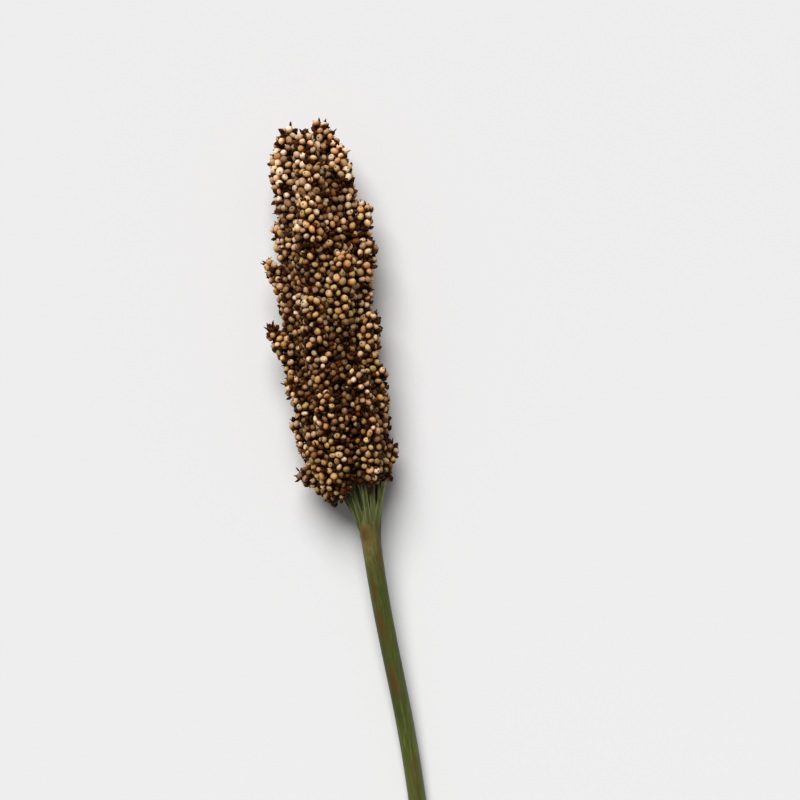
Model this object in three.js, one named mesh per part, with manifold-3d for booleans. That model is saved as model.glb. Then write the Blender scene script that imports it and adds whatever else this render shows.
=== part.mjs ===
// Sorghum seed head: a cut green stalk whose top parts into rays, and one dense head of round grains.
// The head lies on a small flat spot of its underside, and the stalk comes down to the same surface.
// Millimetres, +Z up, +Y along the stalk towards the head's tip, the origin at the resting spot.
import * as THREE from 'three';
import { mergeVertices } from 'three/addons/utils/BufferGeometryUtils.js';
import { ConvexHull } from 'three/addons/math/ConvexHull.js';
import Module from 'manifold-3d';

const wasm = await Module();
wasm.setup();

// Lengths along the stalk are counted from its top, where the rays part; the head lies beyond it.
const REST_AT = 90; // the resting spot, and so the origin
const STALK_LENGTH = 160; // down to the clean cut
const HEAD_BASE = 5; // first grains
const HEAD_BELLY = 90; // widest place
const HEAD_TIP = 200;
const HEAD_RADIUS = 26.5;

// The head's outline is a spindle with a blunt base and a longer, rounder tip.
const BASE_SHAPE = { squareness: 4, fullness: 0.4 };
const TIP_SHAPE = { squareness: 3.5, fullness: 0.5 };

// The head's middle line sways sideways and rises a little towards the tip.
const BASE_SHIFT = -4.6;
const TIP_SHIFT = 0.8;
const SHIFT_FROM = 80;
const SHIFT_TO = 150;
const MIDDLE_HEIGHT = 23.4; // above the surface at the resting spot, so the flat spot is cut there
const MIDDLE_RISE = 0.02;

// Fingers are the branches of the head, each a plump upright cluster that ends in a free tip.
const FINGER_COUNT = 34;
const FINGER_LENGTH = 50;
const FINGER_LINKS = 12; // balls along each finger
const FINGER_BELLY = 9.6; // radius of its thickest ball
const FINGER_END = 6.2; // radius of its last ball
const FINGER_SUNK = 4; // how deep its root lies under the outline
const BASE_SUNK = 0.5; // the same for the fingers that start at the head's base
const FINGER_OUT = 2.2; // how far its tip stands out of the outline
const FINGER_RISE = 1.5; // power of the share along a finger by which it comes out of the outline
const SPRIG_RISE = 4; // the same for the extra length of a placed tip
const FINGER_SPACING = 17; // no drawn tip is nearer than this to a placed one
const FINGER_TIP_FROM = 36; // first tip above the head's base
const FINGER_TIP_TO = 192;
const FINGER_SEED = 7;
// Each drawn finger strays within these ranges, about the middle value of each.
const FINGER_STRAY = { at: 5, bearing: 0.25, out: 1.6, size: 0.2, lean: 0.4 };
const FINGER_SIZE = 0.98;
const CORE_DEPTH = 8; // the core lies this deep under the outline, between the fingers
const GOLDEN_ANGLE = Math.PI * (3 - Math.sqrt(5));

// Tips that show in the head's outline and on its upper side: distance, bearing in degrees from +X
// over the top, extra length that stands out, and thickness.
const PLACED_TIPS = [
  { at: 200, bearing: 180, out: 0.6, size: 0.95 },
  { at: 199.5, bearing: 0, out: 0.6, size: 0.95 },
  { at: 194, bearing: 92, out: 0, size: 0.95 },
  { at: 193, bearing: 268, out: 0, size: 0.95 },
  { at: 187, bearing: 172, out: 0.5, size: 1 },
  { at: 186, bearing: 12, out: 0, size: 1 },
  { at: 156, bearing: 2, out: 1, size: 0.95 },
  { at: 136, bearing: 180, out: 3.6, size: 0.8 },
  { at: 132, bearing: 64, out: 0.6, size: 1 },
  { at: 114, bearing: 107, out: 0.8, size: 1 },
  { at: 103, bearing: 178, out: 4.2, size: 0.9 },
  { at: 101, bearing: 20, out: 1, size: 1 },
  { at: 76, bearing: 148, out: 1.4, size: 1 },
  { at: 75, bearing: 58, out: 1.6, size: 1.05 },
  { at: 30, bearing: 176, out: 4, size: 0.85 },
];

// Grains, larger than life, cover the fingers as a relief of round cells.
const GRAIN_COUNT = 610;
const GRAIN_SEED = 11;
const GRAIN_JITTER = 0.34; // share of the even spacing that a grain may stray by
const GRAIN_MARGIN = 1; // a strayed grain keeps this far from both ends of the outline
const SHOULDER_SPREAD = 0.66; // from a grain's middle towards the gap beside it
const SHOULDER_DROP = 1;
const GAP_DROP = 2.9;
const GRAIN_STEP = 4.4; // no grain lies deeper than this under its neighbour
const PROFILE_STEPS = 900;
const PROBE_DEPTH = 14; // the fingers are felt for from this deep under the outline

// The stalk lies on the surface at its cut and rises to the head in a bow.
const CUT_RADIUS = 4.4;
const TOP_RADIUS = 5;
const TOP_HEIGHT = 21.6;
const STALK_BOW = 1.3;
const TOP_SLOPE = ((TOP_HEIGHT - CUT_RADIUS) * STALK_BOW) / STALK_LENGTH;
const SPLIT_AT = -5; // the full stalk ends here among its rays
const STALK_SWAY = 0.9;
const STALK_TAPER = 4; // power of the share along the stalk by which it widens to its top
const STALK_SIDES = 12;
const STALK_STEPS = 16;

// The rachis goes on inside the head, in a bore that leaves it clear.
const RACHIS_LENGTH = 62;
const RACHIS_RADIUS = [3.6, 2.2];
const RACHIS_SIDES = 8;
const RACHIS_STEPS = 8;
const CLEARANCE = 0.4;

// The head is hollow round the rays, as a funnel that narrows up to the rachis.
const FUNNEL_DEPTH = 34;
const FUNNEL_MOUTH = -7; // its wide end, clear of the first grains
const FUNNEL_SLOPE = 0.36;
const FUNNEL_TIP = 4.7; // radius of its narrow end
const FUNNEL_SIDES = 24;

// The rays fan out of the stalk's top and end just short of the funnel's wall.
const RAY_COUNT = 11;
const RAY_FROM = -14;
const RAY_BEND = -3; // up to here a ray runs along the stalk
const RAY_AWAY = [2.6, 4.1]; // from the stalk's middle at its root and at its bend
const RAY_TURN = 0.6; // bearing of the first ray
const RAY_SKIP = 5; // so that long and short rays alternate round the stalk
const RAY_ENDS = [15, 27]; // distances of the first and the last ray's end
const RAY_RADIUS = [1.9, 1.05];
const RAY_GAP = CLEARANCE + 0.1; // between a ray's end and the funnel's wall
const RAY_SIDES = 6;
const RAY_STEPS = 5;

// A repeatable stream of numbers between 0 and 1
function seededDraws(seed) {
  let state = seed;
  return () => {
    state = (state + 0x6d2b79f5) | 0;
    let mixed = Math.imul(state ^ (state >>> 15), 1 | state);
    mixed = (mixed + Math.imul(mixed ^ (mixed >>> 7), 61 | mixed)) ^ mixed;
    return ((mixed ^ (mixed >>> 14)) >>> 0) / 4294967296;
  };
}

// Radius of the head's outline at a distance
function outlineRadius(at) {
  const below = at < HEAD_BELLY;
  const shape = below ? BASE_SHAPE : TIP_SHAPE;
  const reach = below ? HEAD_BELLY - HEAD_BASE : HEAD_TIP - HEAD_BELLY;
  const share = Math.min(Math.abs(at - HEAD_BELLY) / reach, 1);
  return HEAD_RADIUS * Math.max(1 - share ** shape.squareness, 0) ** shape.fullness;
}

// Sideways place and height of the head's middle line at a distance
function middleX(at) {
  return THREE.MathUtils.lerp(BASE_SHIFT, TIP_SHIFT, THREE.MathUtils.smoothstep(at, SHIFT_FROM, SHIFT_TO));
}

function middleZ(at) {
  return MIDDLE_HEIGHT + MIDDLE_RISE * (at - REST_AT);
}

// A point at a distance, a radius and a bearing about the head's middle line
function headPoint(at, radius, bearing) {
  return new THREE.Vector3(
    middleX(at) + radius * Math.cos(bearing),
    at - REST_AT,
    middleZ(at) + radius * Math.sin(bearing),
  );
}

// The balls of one finger, from its root up to its free tip
function fingerBalls({ at, bearing, out, size, lean }) {
  const balls = [];
  const lowest = HEAD_BASE + FINGER_END;
  const root = Math.max(at - FINGER_LENGTH, lowest);
  const sunk = root > lowest ? FINGER_SUNK : BASE_SUNK;
  const last = at - FINGER_END * size;
  for (let link = 0; link < FINGER_LINKS; link += 1) {
    const share = link / (FINGER_LINKS - 1);
    const place = THREE.MathUtils.lerp(root, last, share);
    const swell = Math.sin(Math.PI * share) * Math.sqrt(outlineRadius(place) / HEAD_RADIUS);
    const radius = size * (FINGER_END + (FINGER_BELLY - FINGER_END) * swell);
    const stand = -sunk + (sunk + FINGER_OUT) * share ** FINGER_RISE + out * share ** SPRIG_RISE;
    const away = Math.max(outlineRadius(place) - radius + stand, 0);
    balls.push({ centre: headPoint(place, away, bearing + lean * (share - 0.5)), radius });
  }
  return balls;
}

// All fingers: the placed ones, then drawn ones in golden-angle order where there is room
function layFingers() {
  const draw = seededDraws(FINGER_SEED);
  const stray = (range) => range * (draw() - 0.5);
  const tips = PLACED_TIPS.map((tip) => ({
    ...tip,
    bearing: THREE.MathUtils.degToRad(tip.bearing),
    lean: 0,
  }));
  for (let index = 0; index < FINGER_COUNT; index += 1) {
    const share = (index + 0.5) / FINGER_COUNT;
    const tip = {
      at: THREE.MathUtils.lerp(FINGER_TIP_FROM, FINGER_TIP_TO, share) + stray(FINGER_STRAY.at),
      bearing: index * GOLDEN_ANGLE + stray(FINGER_STRAY.bearing),
      out: stray(FINGER_STRAY.out),
      size: FINGER_SIZE + stray(FINGER_STRAY.size),
      lean: stray(FINGER_STRAY.lean),
    };
    const spot = headPoint(tip.at, outlineRadius(tip.at), tip.bearing);
    const crowded = PLACED_TIPS.some((placed) => {
      const bearing = THREE.MathUtils.degToRad(placed.bearing);
      return spot.distanceTo(headPoint(placed.at, outlineRadius(placed.at), bearing)) < FINGER_SPACING;
    });
    if (!crowded) tips.push(tip);
  }
  return tips;
}

// The outline sampled from base to tip, with its length, its area and a measure that keeps angles
function sampleOutline() {
  const rows = [];
  let length = 0;
  let area = 0;
  let stretch = 0;
  for (let step = 0; step <= PROFILE_STEPS; step += 1) {
    const share = (step + 0.5) / (PROFILE_STEPS + 1);
    const at = HEAD_BASE + ((HEAD_TIP - HEAD_BASE) * (1 - Math.cos(Math.PI * share))) / 2;
    const radius = outlineRadius(at);
    if (step > 0) {
      const before = rows[step - 1];
      const run = Math.hypot(at - before.at, radius - before.radius);
      length += run;
      area += Math.PI * run * (radius + before.radius);
      stretch += (2 * run) / (radius + before.radius);
    }
    rows.push({ at, radius, length, area, stretch });
  }
  return rows;
}

// The place on the sampled outline where one of its measures reaches a value
function findOnOutline(rows, key, value) {
  let low = 0;
  let high = rows.length - 1;
  while (high - low > 1) {
    const middle = (low + high) >> 1;
    if (rows[middle][key] < value) low = middle;
    else high = middle;
  }
  const [a, b] = [rows[low], rows[high]];
  const share = THREE.MathUtils.clamp((value - a[key]) / (b[key] - a[key]), 0, 1);
  const run = Math.hypot(b.at - a.at, b.radius - a.radius);
  return {
    at: THREE.MathUtils.lerp(a.at, b.at, share),
    radius: THREE.MathUtils.lerp(a.radius, b.radius, share),
    stretch: THREE.MathUtils.lerp(a.stretch, b.stretch, share),
    length: THREE.MathUtils.lerp(a.length, b.length, share),
    along: -(b.radius - a.radius) / run,
    outward: (b.at - a.at) / run,
  };
}

// How far the outermost finger stands above a place of the outline, measured along its normal
function fingerHeight(place, normal, balls) {
  const from = place.clone().addScaledVector(normal, -PROBE_DEPTH);
  let height = -CORE_DEPTH;
  for (const { centre, radius } of balls) {
    const towards = centre.clone().sub(from);
    const reach = towards.dot(normal);
    const inside = reach * reach - towards.lengthSq() + radius * radius;
    if (inside > 0) height = Math.max(height, reach + Math.sqrt(inside) - PROBE_DEPTH);
  }
  return height;
}

// Places that a grain is moved to: each placed tip, and the resting spot, where it reaches the surface
function pinnedPlaces() {
  const pins = PLACED_TIPS.map(({ at, bearing }) => ({
    at: at - FINGER_END,
    bearing: THREE.MathUtils.degToRad(bearing),
    least: -Infinity,
  }));
  const bearing = -Math.acos(-middleX(REST_AT) / outlineRadius(REST_AT));
  return [...pins, { at: REST_AT, bearing, least: 0 }];
}

// The grains' places: an even spiral over the outline, loosened by draws, less the ones that are pinned
function layGrains(balls) {
  const rows = sampleOutline();
  const total = rows[rows.length - 1];
  const draw = seededDraws(GRAIN_SEED);
  const spacing = Math.sqrt(total.area / GRAIN_COUNT);
  const spots = [];
  for (let index = 0; index < GRAIN_COUNT; index += 1) {
    const even = findOnOutline(rows, 'area', (total.area * (index + 0.5)) / GRAIN_COUNT);
    const stray = spacing * GRAIN_JITTER;
    const goal = even.length + stray * (draw() - 0.5);
    const length = THREE.MathUtils.clamp(goal, GRAIN_MARGIN, total.length - GRAIN_MARGIN);
    const turn = (stray * (draw() - 0.5)) / Math.max(even.radius, spacing);
    spots.push({ ...findOnOutline(rows, 'length', length), bearing: index * GOLDEN_ANGLE + turn });
  }
  for (const { at, bearing, least } of pinnedPlaces()) {
    const pin = findOnOutline(rows, 'at', at);
    const goal = headPoint(pin.at, pin.radius, bearing);
    const gaps = spots.map((spot) => headPoint(spot.at, spot.radius, spot.bearing).distanceTo(goal));
    spots[gaps.indexOf(Math.min(...gaps))] = { ...pin, bearing, least };
  }
  return spots.map((spot) => {
    const normal = new THREE.Vector3(
      spot.outward * Math.cos(spot.bearing),
      spot.along,
      spot.outward * Math.sin(spot.bearing),
    );
    const place = headPoint(spot.at, spot.radius, spot.bearing);
    const rise = Math.tanh(spot.stretch - total.stretch / 2);
    const belt = Math.sqrt(1 - rise * rise);
    const globe = new THREE.Vector3(
      belt * Math.cos(spot.bearing),
      rise,
      belt * Math.sin(spot.bearing),
    );
    const height = Math.max(fingerHeight(place, normal, balls), spot.least ?? -Infinity);
    return { place, normal, globe, height };
  });
}

// The grains' neighbours: the triangles of the hull of their places on a globe
function neighbourTriangles(grains) {
  const numbers = new Map(grains.map(({ globe }, index) => [globe, index]));
  const hull = new ConvexHull().setFromPoints(grains.map(({ globe }) => globe));
  return hull.faces.map((face) => {
    const corners = [];
    let edge = face.edge;
    do {
      corners.push(numbers.get(edge.head().point));
      edge = edge.next;
    } while (edge !== face.edge);
    return corners;
  });
}

// A solid from vertices and triangles
function solidFrom(vertices, triangles) {
  const geometry = new THREE.BufferGeometry().setFromPoints(vertices);
  geometry.setIndex(triangles.flat());
  return solidOf(geometry);
}

// A solid from a closed three.js geometry
function solidOf(geometry) {
  const bare = geometry.clone();
  bare.deleteAttribute('normal');
  bare.deleteAttribute('uv');
  const merged = mergeVertices(bare);
  return new wasm.Manifold(new wasm.Mesh({
    numProp: 3,
    vertProperties: new Float32Array(merged.attributes.position.array),
    triVerts: new Uint32Array(merged.index.array),
  }));
}

// A named mesh from a solid
function meshOf(solid, name, material) {
  const { vertProperties, triVerts } = solid.getMesh();
  const geometry = new THREE.BufferGeometry();
  geometry.setAttribute('position', new THREE.BufferAttribute(vertProperties, 3));
  geometry.setIndex(new THREE.BufferAttribute(triVerts, 1));
  geometry.computeVertexNormals();
  const mesh = new THREE.Mesh(geometry, material);
  mesh.name = name;
  return mesh;
}

// Raise each grain that lies too deep beside a neighbour, so that no grain stands out as a pillar
function easeSteps(grains, triangles) {
  let changed = true;
  while (changed) {
    changed = false;
    for (const corners of triangles) {
      const floor = Math.max(...corners.map((corner) => grains[corner].height)) - GRAIN_STEP;
      for (const corner of corners) {
        if (grains[corner].height < floor) {
          grains[corner].height = floor;
          changed = true;
        }
      }
    }
  }
}

// The grains as one closed relief: a raised middle, a ring of shoulders and a deep gap at each corner
function grainRelief(grains) {
  const neighbours = neighbourTriangles(grains);
  easeSteps(grains, neighbours);
  const vertices = grains.map(({ place, normal, height }) => place.clone().addScaledVector(normal, height));
  const triangles = [];
  const fans = grains.map(() => new Map());
  for (const corners of neighbours) {
    const place = new THREE.Vector3();
    const normal = new THREE.Vector3();
    for (const corner of corners) {
      place.addScaledVector(grains[corner].place, 1 / 3);
      normal.add(grains[corner].normal);
    }
    normal.normalize();
    const lowest = Math.min(...corners.map((corner) => grains[corner].height));
    const gap = vertices.push(place.clone().addScaledVector(normal, lowest - GAP_DROP)) - 1;
    corners.forEach((corner, side) => {
      const grain = grains[corner];
      const spot = grain.place.clone().lerp(place, SHOULDER_SPREAD);
      const facing = grain.normal.clone().lerp(normal, SHOULDER_SPREAD).normalize();
      const shoulder = vertices.push(spot.addScaledVector(facing, grain.height - SHOULDER_DROP)) - 1;
      const after = corners[(side + 1) % 3];
      const before = corners[(side + 2) % 3];
      fans[corner].set(after, { before, gap, shoulder });
    });
  }
  // Round each grain, a sector's "before" neighbour is the next sector's "after" neighbour.
  fans.forEach((fan, middle) => {
    for (const { before, gap, shoulder } of fan.values()) {
      const next = fan.get(before);
      triangles.push([middle, shoulder, next.shoulder]);
      triangles.push([shoulder, gap, next.gap]);
      triangles.push([shoulder, next.gap, next.shoulder]);
    }
  });
  return solidFrom(vertices, triangles);
}

// A closed tube along a curve, with a radius that changes along it
function taperedTube(curve, radiusAt, sides, steps) {
  const { normals, binormals } = curve.computeFrenetFrames(steps, false);
  const vertices = [];
  const triangles = [];
  for (let step = 0; step <= steps; step += 1) {
    const centre = curve.getPointAt(step / steps);
    for (let side = 0; side < sides; side += 1) {
      const angle = (2 * Math.PI * side) / sides;
      const radius = radiusAt(step / steps);
      vertices.push(centre.clone()
        .addScaledVector(normals[step], radius * Math.cos(angle))
        .addScaledVector(binormals[step], radius * Math.sin(angle)));
    }
  }
  const ends = [curve.getPointAt(0), curve.getPointAt(1)].map((end) => vertices.push(end) - 1);
  const last = steps * sides;
  for (let side = 0; side < sides; side += 1) {
    const after = (side + 1) % sides;
    for (let ring = 0; ring < last; ring += sides) {
      triangles.push([ring + side, ring + after, ring + sides + side]);
      triangles.push([ring + after, ring + sides + after, ring + sides + side]);
    }
    triangles.push([ends[0], after, side]);
    triangles.push([ends[1], last + side, last + after]);
  }
  return solidFrom(vertices, triangles);
}

// The stalk's middle line from the cut up to where it is split
function stalkCurve() {
  const points = [];
  for (let step = 0; step <= STALK_STEPS; step += 1) {
    const share = (step / STALK_STEPS) * (1 + SPLIT_AT / STALK_LENGTH);
    points.push(new THREE.Vector3(
      STALK_SWAY * Math.sin(2 * Math.PI * share),
      -STALK_LENGTH * (1 - share) - REST_AT,
      CUT_RADIUS + (TOP_HEIGHT - CUT_RADIUS) * share ** STALK_BOW,
    ));
  }
  return new THREE.CatmullRomCurve3(points);
}

// The rachis's middle line, from inside the stalk's top to deep in the head
function rachisCurve() {
  const deep = RACHIS_LENGTH;
  return new THREE.QuadraticBezierCurve3(
    topPoint(RAY_FROM, 0, 0),
    new THREE.Vector3(0, deep / 3 - REST_AT, middleZ(deep / 3)),
    new THREE.Vector3(middleX(deep), deep - REST_AT, middleZ(deep)),
  );
}

// Radius of the hollow at a distance
function funnelRadius(at) {
  return FUNNEL_TIP + FUNNEL_SLOPE * (FUNNEL_DEPTH - at);
}

// A point at a distance, a radius and a bearing about the stalk's top, which slopes up to the head
function topPoint(at, radius, bearing) {
  const height = TOP_HEIGHT + TOP_SLOPE * Math.min(at, 0);
  return new THREE.Vector3(radius * Math.cos(bearing), at - REST_AT, height + radius * Math.sin(bearing));
}

// One ray of the fan, sunk well into the stalk
function ray(index) {
  const bearing = index * GOLDEN_ANGLE + RAY_TURN;
  const share = ((index * RAY_SKIP) % RAY_COUNT) / (RAY_COUNT - 1);
  const end = THREE.MathUtils.lerp(RAY_ENDS[0], RAY_ENDS[1], share);
  const away = funnelRadius(end) - (RAY_RADIUS[1] + RAY_GAP) / Math.cos(Math.atan(FUNNEL_SLOPE));
  const curve = new THREE.QuadraticBezierCurve3(
    topPoint(RAY_FROM, RAY_AWAY[0], bearing),
    topPoint(RAY_BEND, RAY_AWAY[1], bearing),
    topPoint(end, away, bearing),
  );
  const radiusAt = (along) => THREE.MathUtils.lerp(RAY_RADIUS[0], RAY_RADIUS[1], along);
  return taperedTube(curve, radiusAt, RAY_SIDES, RAY_STEPS);
}

// The stalk with its rays and the rachis, fused
function stalkSolid() {
  const stalkRadius = (share) => THREE.MathUtils.lerp(CUT_RADIUS, TOP_RADIUS, share ** STALK_TAPER);
  const rachisRadius = (share) => THREE.MathUtils.lerp(RACHIS_RADIUS[0], RACHIS_RADIUS[1], share);
  let solid = taperedTube(stalkCurve(), stalkRadius, STALK_SIDES, STALK_STEPS);
  solid = solid.add(taperedTube(rachisCurve(), rachisRadius, RACHIS_SIDES, RACHIS_STEPS));
  for (let index = 0; index < RAY_COUNT; index += 1) solid = solid.add(ray(index));
  return solid;
}

// What is cut out of the head: the funnel, the bore for the rachis and all below the surface
function headCutters() {
  const profile = [
    new THREE.Vector2(0, FUNNEL_MOUTH),
    new THREE.Vector2(funnelRadius(FUNNEL_MOUTH), FUNNEL_MOUTH),
    new THREE.Vector2(funnelRadius(FUNNEL_DEPTH), FUNNEL_DEPTH),
    new THREE.Vector2(0, FUNNEL_DEPTH),
  ];
  const funnel = new THREE.LatheGeometry(profile, FUNNEL_SIDES);
  funnel.translate(0, -REST_AT, TOP_HEIGHT);
  const boreRadius = (share) => (
    THREE.MathUtils.lerp(RACHIS_RADIUS[0], RACHIS_RADIUS[1], share) + CLEARANCE
  );
  const bore = taperedTube(rachisCurve(), boreRadius, RACHIS_SIDES, RACHIS_STEPS);
  const below = new THREE.BoxGeometry(4 * HEAD_RADIUS, 2 * HEAD_TIP, 2 * HEAD_RADIUS);
  below.translate(0, 0, -HEAD_RADIUS);
  return [solidOf(funnel), bore, solidOf(below)];
}

// The head: the grain relief less what is cut out of it, and without the crumbs that this leaves
function headSolid() {
  const balls = layFingers().flatMap(fingerBalls);
  let solid = grainRelief(layGrains(balls));
  for (const cutter of headCutters()) solid = solid.subtract(cutter);
  const pieces = solid.decompose();
  return pieces.reduce((largest, piece) => (piece.volume() > largest.volume() ? piece : largest));
}

const stalkGreen = new THREE.MeshStandardMaterial({ color: 0x5e6b3b, roughness: 0.6, metalness: 0 });
const grainBrown = new THREE.MeshStandardMaterial({ color: 0xa67a50, roughness: 0.5, metalness: 0 });

const group = new THREE.Group();
group.add(meshOf(stalkSolid(), 'stalk', stalkGreen));
group.add(meshOf(headSolid(), 'seed_head', grainBrown));

export default group;
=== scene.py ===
"""The finished look of a cut sorghum seed head that lies on its side.

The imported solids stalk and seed_head give the place and the size of everything. The pieces made here
keep their form: the head's outline, its fingers, the hollow at its base, the rays and the bowed stalk
follow the same rule, with every grain at its true size. Lengths are in metres. Lengths along the stalk
are counted from its top, where the rays part, and the head lies beyond it.
"""

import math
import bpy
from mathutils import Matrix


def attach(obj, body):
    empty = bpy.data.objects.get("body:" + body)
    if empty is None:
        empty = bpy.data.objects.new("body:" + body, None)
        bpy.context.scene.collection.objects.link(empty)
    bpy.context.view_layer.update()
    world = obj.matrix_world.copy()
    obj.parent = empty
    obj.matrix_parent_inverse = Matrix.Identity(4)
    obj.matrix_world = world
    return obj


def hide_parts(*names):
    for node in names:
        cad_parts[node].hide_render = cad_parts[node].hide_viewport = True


bl_info = {
    "name": "Sorghum seed head",
    "version": (1, 0, 0),
    "blender": (4, 5, 0),
    "location": "3D View > Sidebar > Sorghum",
    "description": "Dresses the packed seed head with grains, husks, rays and a ribbed green stalk",
    "category": "Object",
}

from dataclasses import dataclass
from functools import lru_cache

import bpy
import numpy as np
from bpy.props import FloatProperty, FloatVectorProperty, IntProperty, PointerProperty
from mathutils import Matrix, Vector

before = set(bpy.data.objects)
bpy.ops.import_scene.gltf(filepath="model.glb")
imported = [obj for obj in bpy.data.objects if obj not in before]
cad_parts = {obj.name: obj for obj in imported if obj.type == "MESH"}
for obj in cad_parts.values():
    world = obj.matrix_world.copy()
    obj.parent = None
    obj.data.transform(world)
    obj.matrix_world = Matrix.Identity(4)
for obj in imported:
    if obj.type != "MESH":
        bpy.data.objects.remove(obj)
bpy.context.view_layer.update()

MM = 0.001
GOLDEN_ANGLE = math.pi * (3 - math.sqrt(5))
WORD = 0xFFFFFFFF
NO_POINTS = np.zeros((0, 3))

# Finger tips that show in the head's outline and on its upper side: distance in millimetres, bearing in
# degrees from +X over the top, millimetres that stand out further, and thickness.
PLACED_TIPS = (
    (200.0, 180, 0.6, 0.95),
    (199.5, 0, 0.6, 0.95),
    (194.0, 92, 0.0, 0.95),
    (193.0, 268, 0.0, 0.95),
    (187.0, 172, 0.5, 1.0),
    (186.0, 12, 0.0, 1.0),
    (156.0, 2, 1.0, 0.95),
    (136.0, 180, 3.6, 0.8),
    (132.0, 64, 0.6, 1.0),
    (114.0, 107, 0.8, 1.0),
    (103.0, 178, 4.2, 0.9),
    (101.0, 20, 1.0, 1.0),
    (76.0, 148, 1.4, 1.0),
    (75.0, 58, 1.6, 1.05),
    (30.0, 176, 4.0, 0.85),
)

# How far a drawn tip strays from its even place: along the head, in bearing and outwards. Then its least
# size, what may be added to that, and how far its finger turns on its way up.
AT_JITTER = 5 * MM
BEARING_JITTER = 0.25
OUT_JITTER = 1.6 * MM
LEAST_SIZE = 0.88
SIZE_JITTER = 0.2
LEAN_JITTER = 0.4

# How far from its depth a thrown point may be, the rounds of pushing apart, and the strength of a push
# from the same layer and from a fixed one. Then the shares of the spacing that each throw keeps.
DEPTH_TOLERANCE = 0.2 * MM
RELAX_ROUNDS = 12
OWN_PUSH = 0.4
FIXED_PUSH = 0.6
THROWN_ROOM = 0.9
SPREAD_ROOM = 0.82
HOLE_ROOM = 0.86
LEAST_ROOM = 0.84

# The layers of grains: depth under the surface, points thrown, and how much light each keeps, so that the
# deeper layers get painted shade.
OUTER_LAYER = (0.0, 80000, 1.0)
INNER_LAYER = (3.3 * MM, 60000, 0.7)
DEEP_LAYER = (6.8 * MM, 40000, 0.35)

# How grains differ: how deep each one sits, which are missing, its tint, the way of its tip, its width, its
# brightness, painted light that makes grains lighter towards the head's tip, painted shade in the creases
# between fingers, and its shape and the spot on its tip.
SUNK_ALONE = 0.35
SUNK_TOGETHER = 0.3
SUNK_WAVES = (9 * MM, 14 * MM)
GAP_WAVES = (7 * MM, 10 * MM)
GAP_SCATTER = 0.5
TINT_SPREAD = (1.7, 2.1)
FINGER_TINT = 0.07
BASE_TINT = 0.3
ALONG = np.array([0.0, 1.0, 0.0])
TIP_LEAN = 0.45
LEAN_SCATTER = 0.35
WIDTH_SPREAD = (0.84, 1.1)
BASE_WIDTH = 0.89
TIP_WIDTH = 1.08
DULLEST = 0.2
SHADE_SPREAD = 0.7
PAINTED_TIP_LIGHT = 0.22
CREASE_DEPTHS = (3 * MM, 7 * MM)
CREASE_SHADE = 0.3
GRAIN_FLAT = (0.78, 1.0)
GRAIN_LONG = (0.95, 1.2)
GRAIN_BEND = 0.1
SPOT_SPREAD = (-0.6, 1.3)
FAINTEST_SPOT = 0.1

# Husks: the degrees from the grain's tip to their base and their sides, how far each wraps round, its
# thickness, and the share and reach of the two kinds. Then how each one differs, and where and how empty
# ones fill holes.
HUSK_BASE = 176
HUSK_SIDE = 130
HUSK_WRAP = 84
HUSK_THICKNESS = 0.045
LONG_HUSK_SHARE = 0.4
LONG_HUSK_REACH = 46
SHORT_HUSK_REACH = 76
HUSK_TURN = 0.2
HUSK_TILT = 0.14
HUSK_FIT = (1.0, 1.12)
HOLE_DARTS = 150000
HOLE_MARGIN = 6 * MM
HOLE_DEPTHS = (1.3 * MM, 7 * MM)
HUSK_ROOM = 0.66
EMPTY_LEAN = 0.5
EMPTY_SCATTER = 0.45

# Spikelets beside a grain, in grain widths: room above the floor, and the root's place beside and below
# the grain's middle. Then their lean, the tuft on a finger's tip, and the stems in the head.
SPIKELET_CLEAR = 1.2
SPIKELET_BESIDE = 0.52
SPIKELET_BELOW = 0.3
SPIKELET_LEAN = 0.35
SPIKELET_SCATTER = 0.25
TUFT_SPIKELETS = 4
TUFT_SPREAD = 0.4
TUFT_ROOT = 2.6 * MM
TUFT_LOWEST = 5 * MM
STEM_BELOW = 0.45
STEM_BEND = 0.45
STEM_RADII = (0.32 * MM, 0.3 * MM, 0.42 * MM)
STEM_DROOP = 0.6 * MM
AXIS_RADII = (1.5 * MM, 0.6 * MM)

# Rays and twigs: how far out they start and bend, how deep their ends are buried, and how they fork. Their
# lengths are dealt out in steps of LENGTH_STEP rays, so that neighbours differ. Between the PARTED shares
# of its length each one gets its grooves and its pale rims, partly real and partly painted light where the
# head shades the rays.
FIRST_BEARING = 0.6
LENGTH_STEP = 5
RAY_STEPS = 22
RAY_ROOT_OUT = 2.6 * MM
RAY_BEND_OUT = 4.1 * MM
RAY_BURIED = 1.5 * MM
RAY_FLATTEN = 0.75
TWIG_STEPS = 14
TWIG_RADII = (0.95 * MM, 0.4 * MM)
TWIG_EXTRA = 2 * MM
TWIG_BURIED = 1.2 * MM
TWIG_SPREAD = (0.18, 0.4)
TWIG_FLATTEN = 0.6
FORK_STEPS = (8, 13)
RACHIS_STEPS = 30
RACHIS_SHORT = 24 * MM
RACHIS_TIP_RADIUS = 0.8 * MM
PARTED = (0.25, 0.6)
GROOVE_DEPTH = 0.35
# The pale rims are partly real and partly painted light.
RIM_SHARE = 0.8
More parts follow.
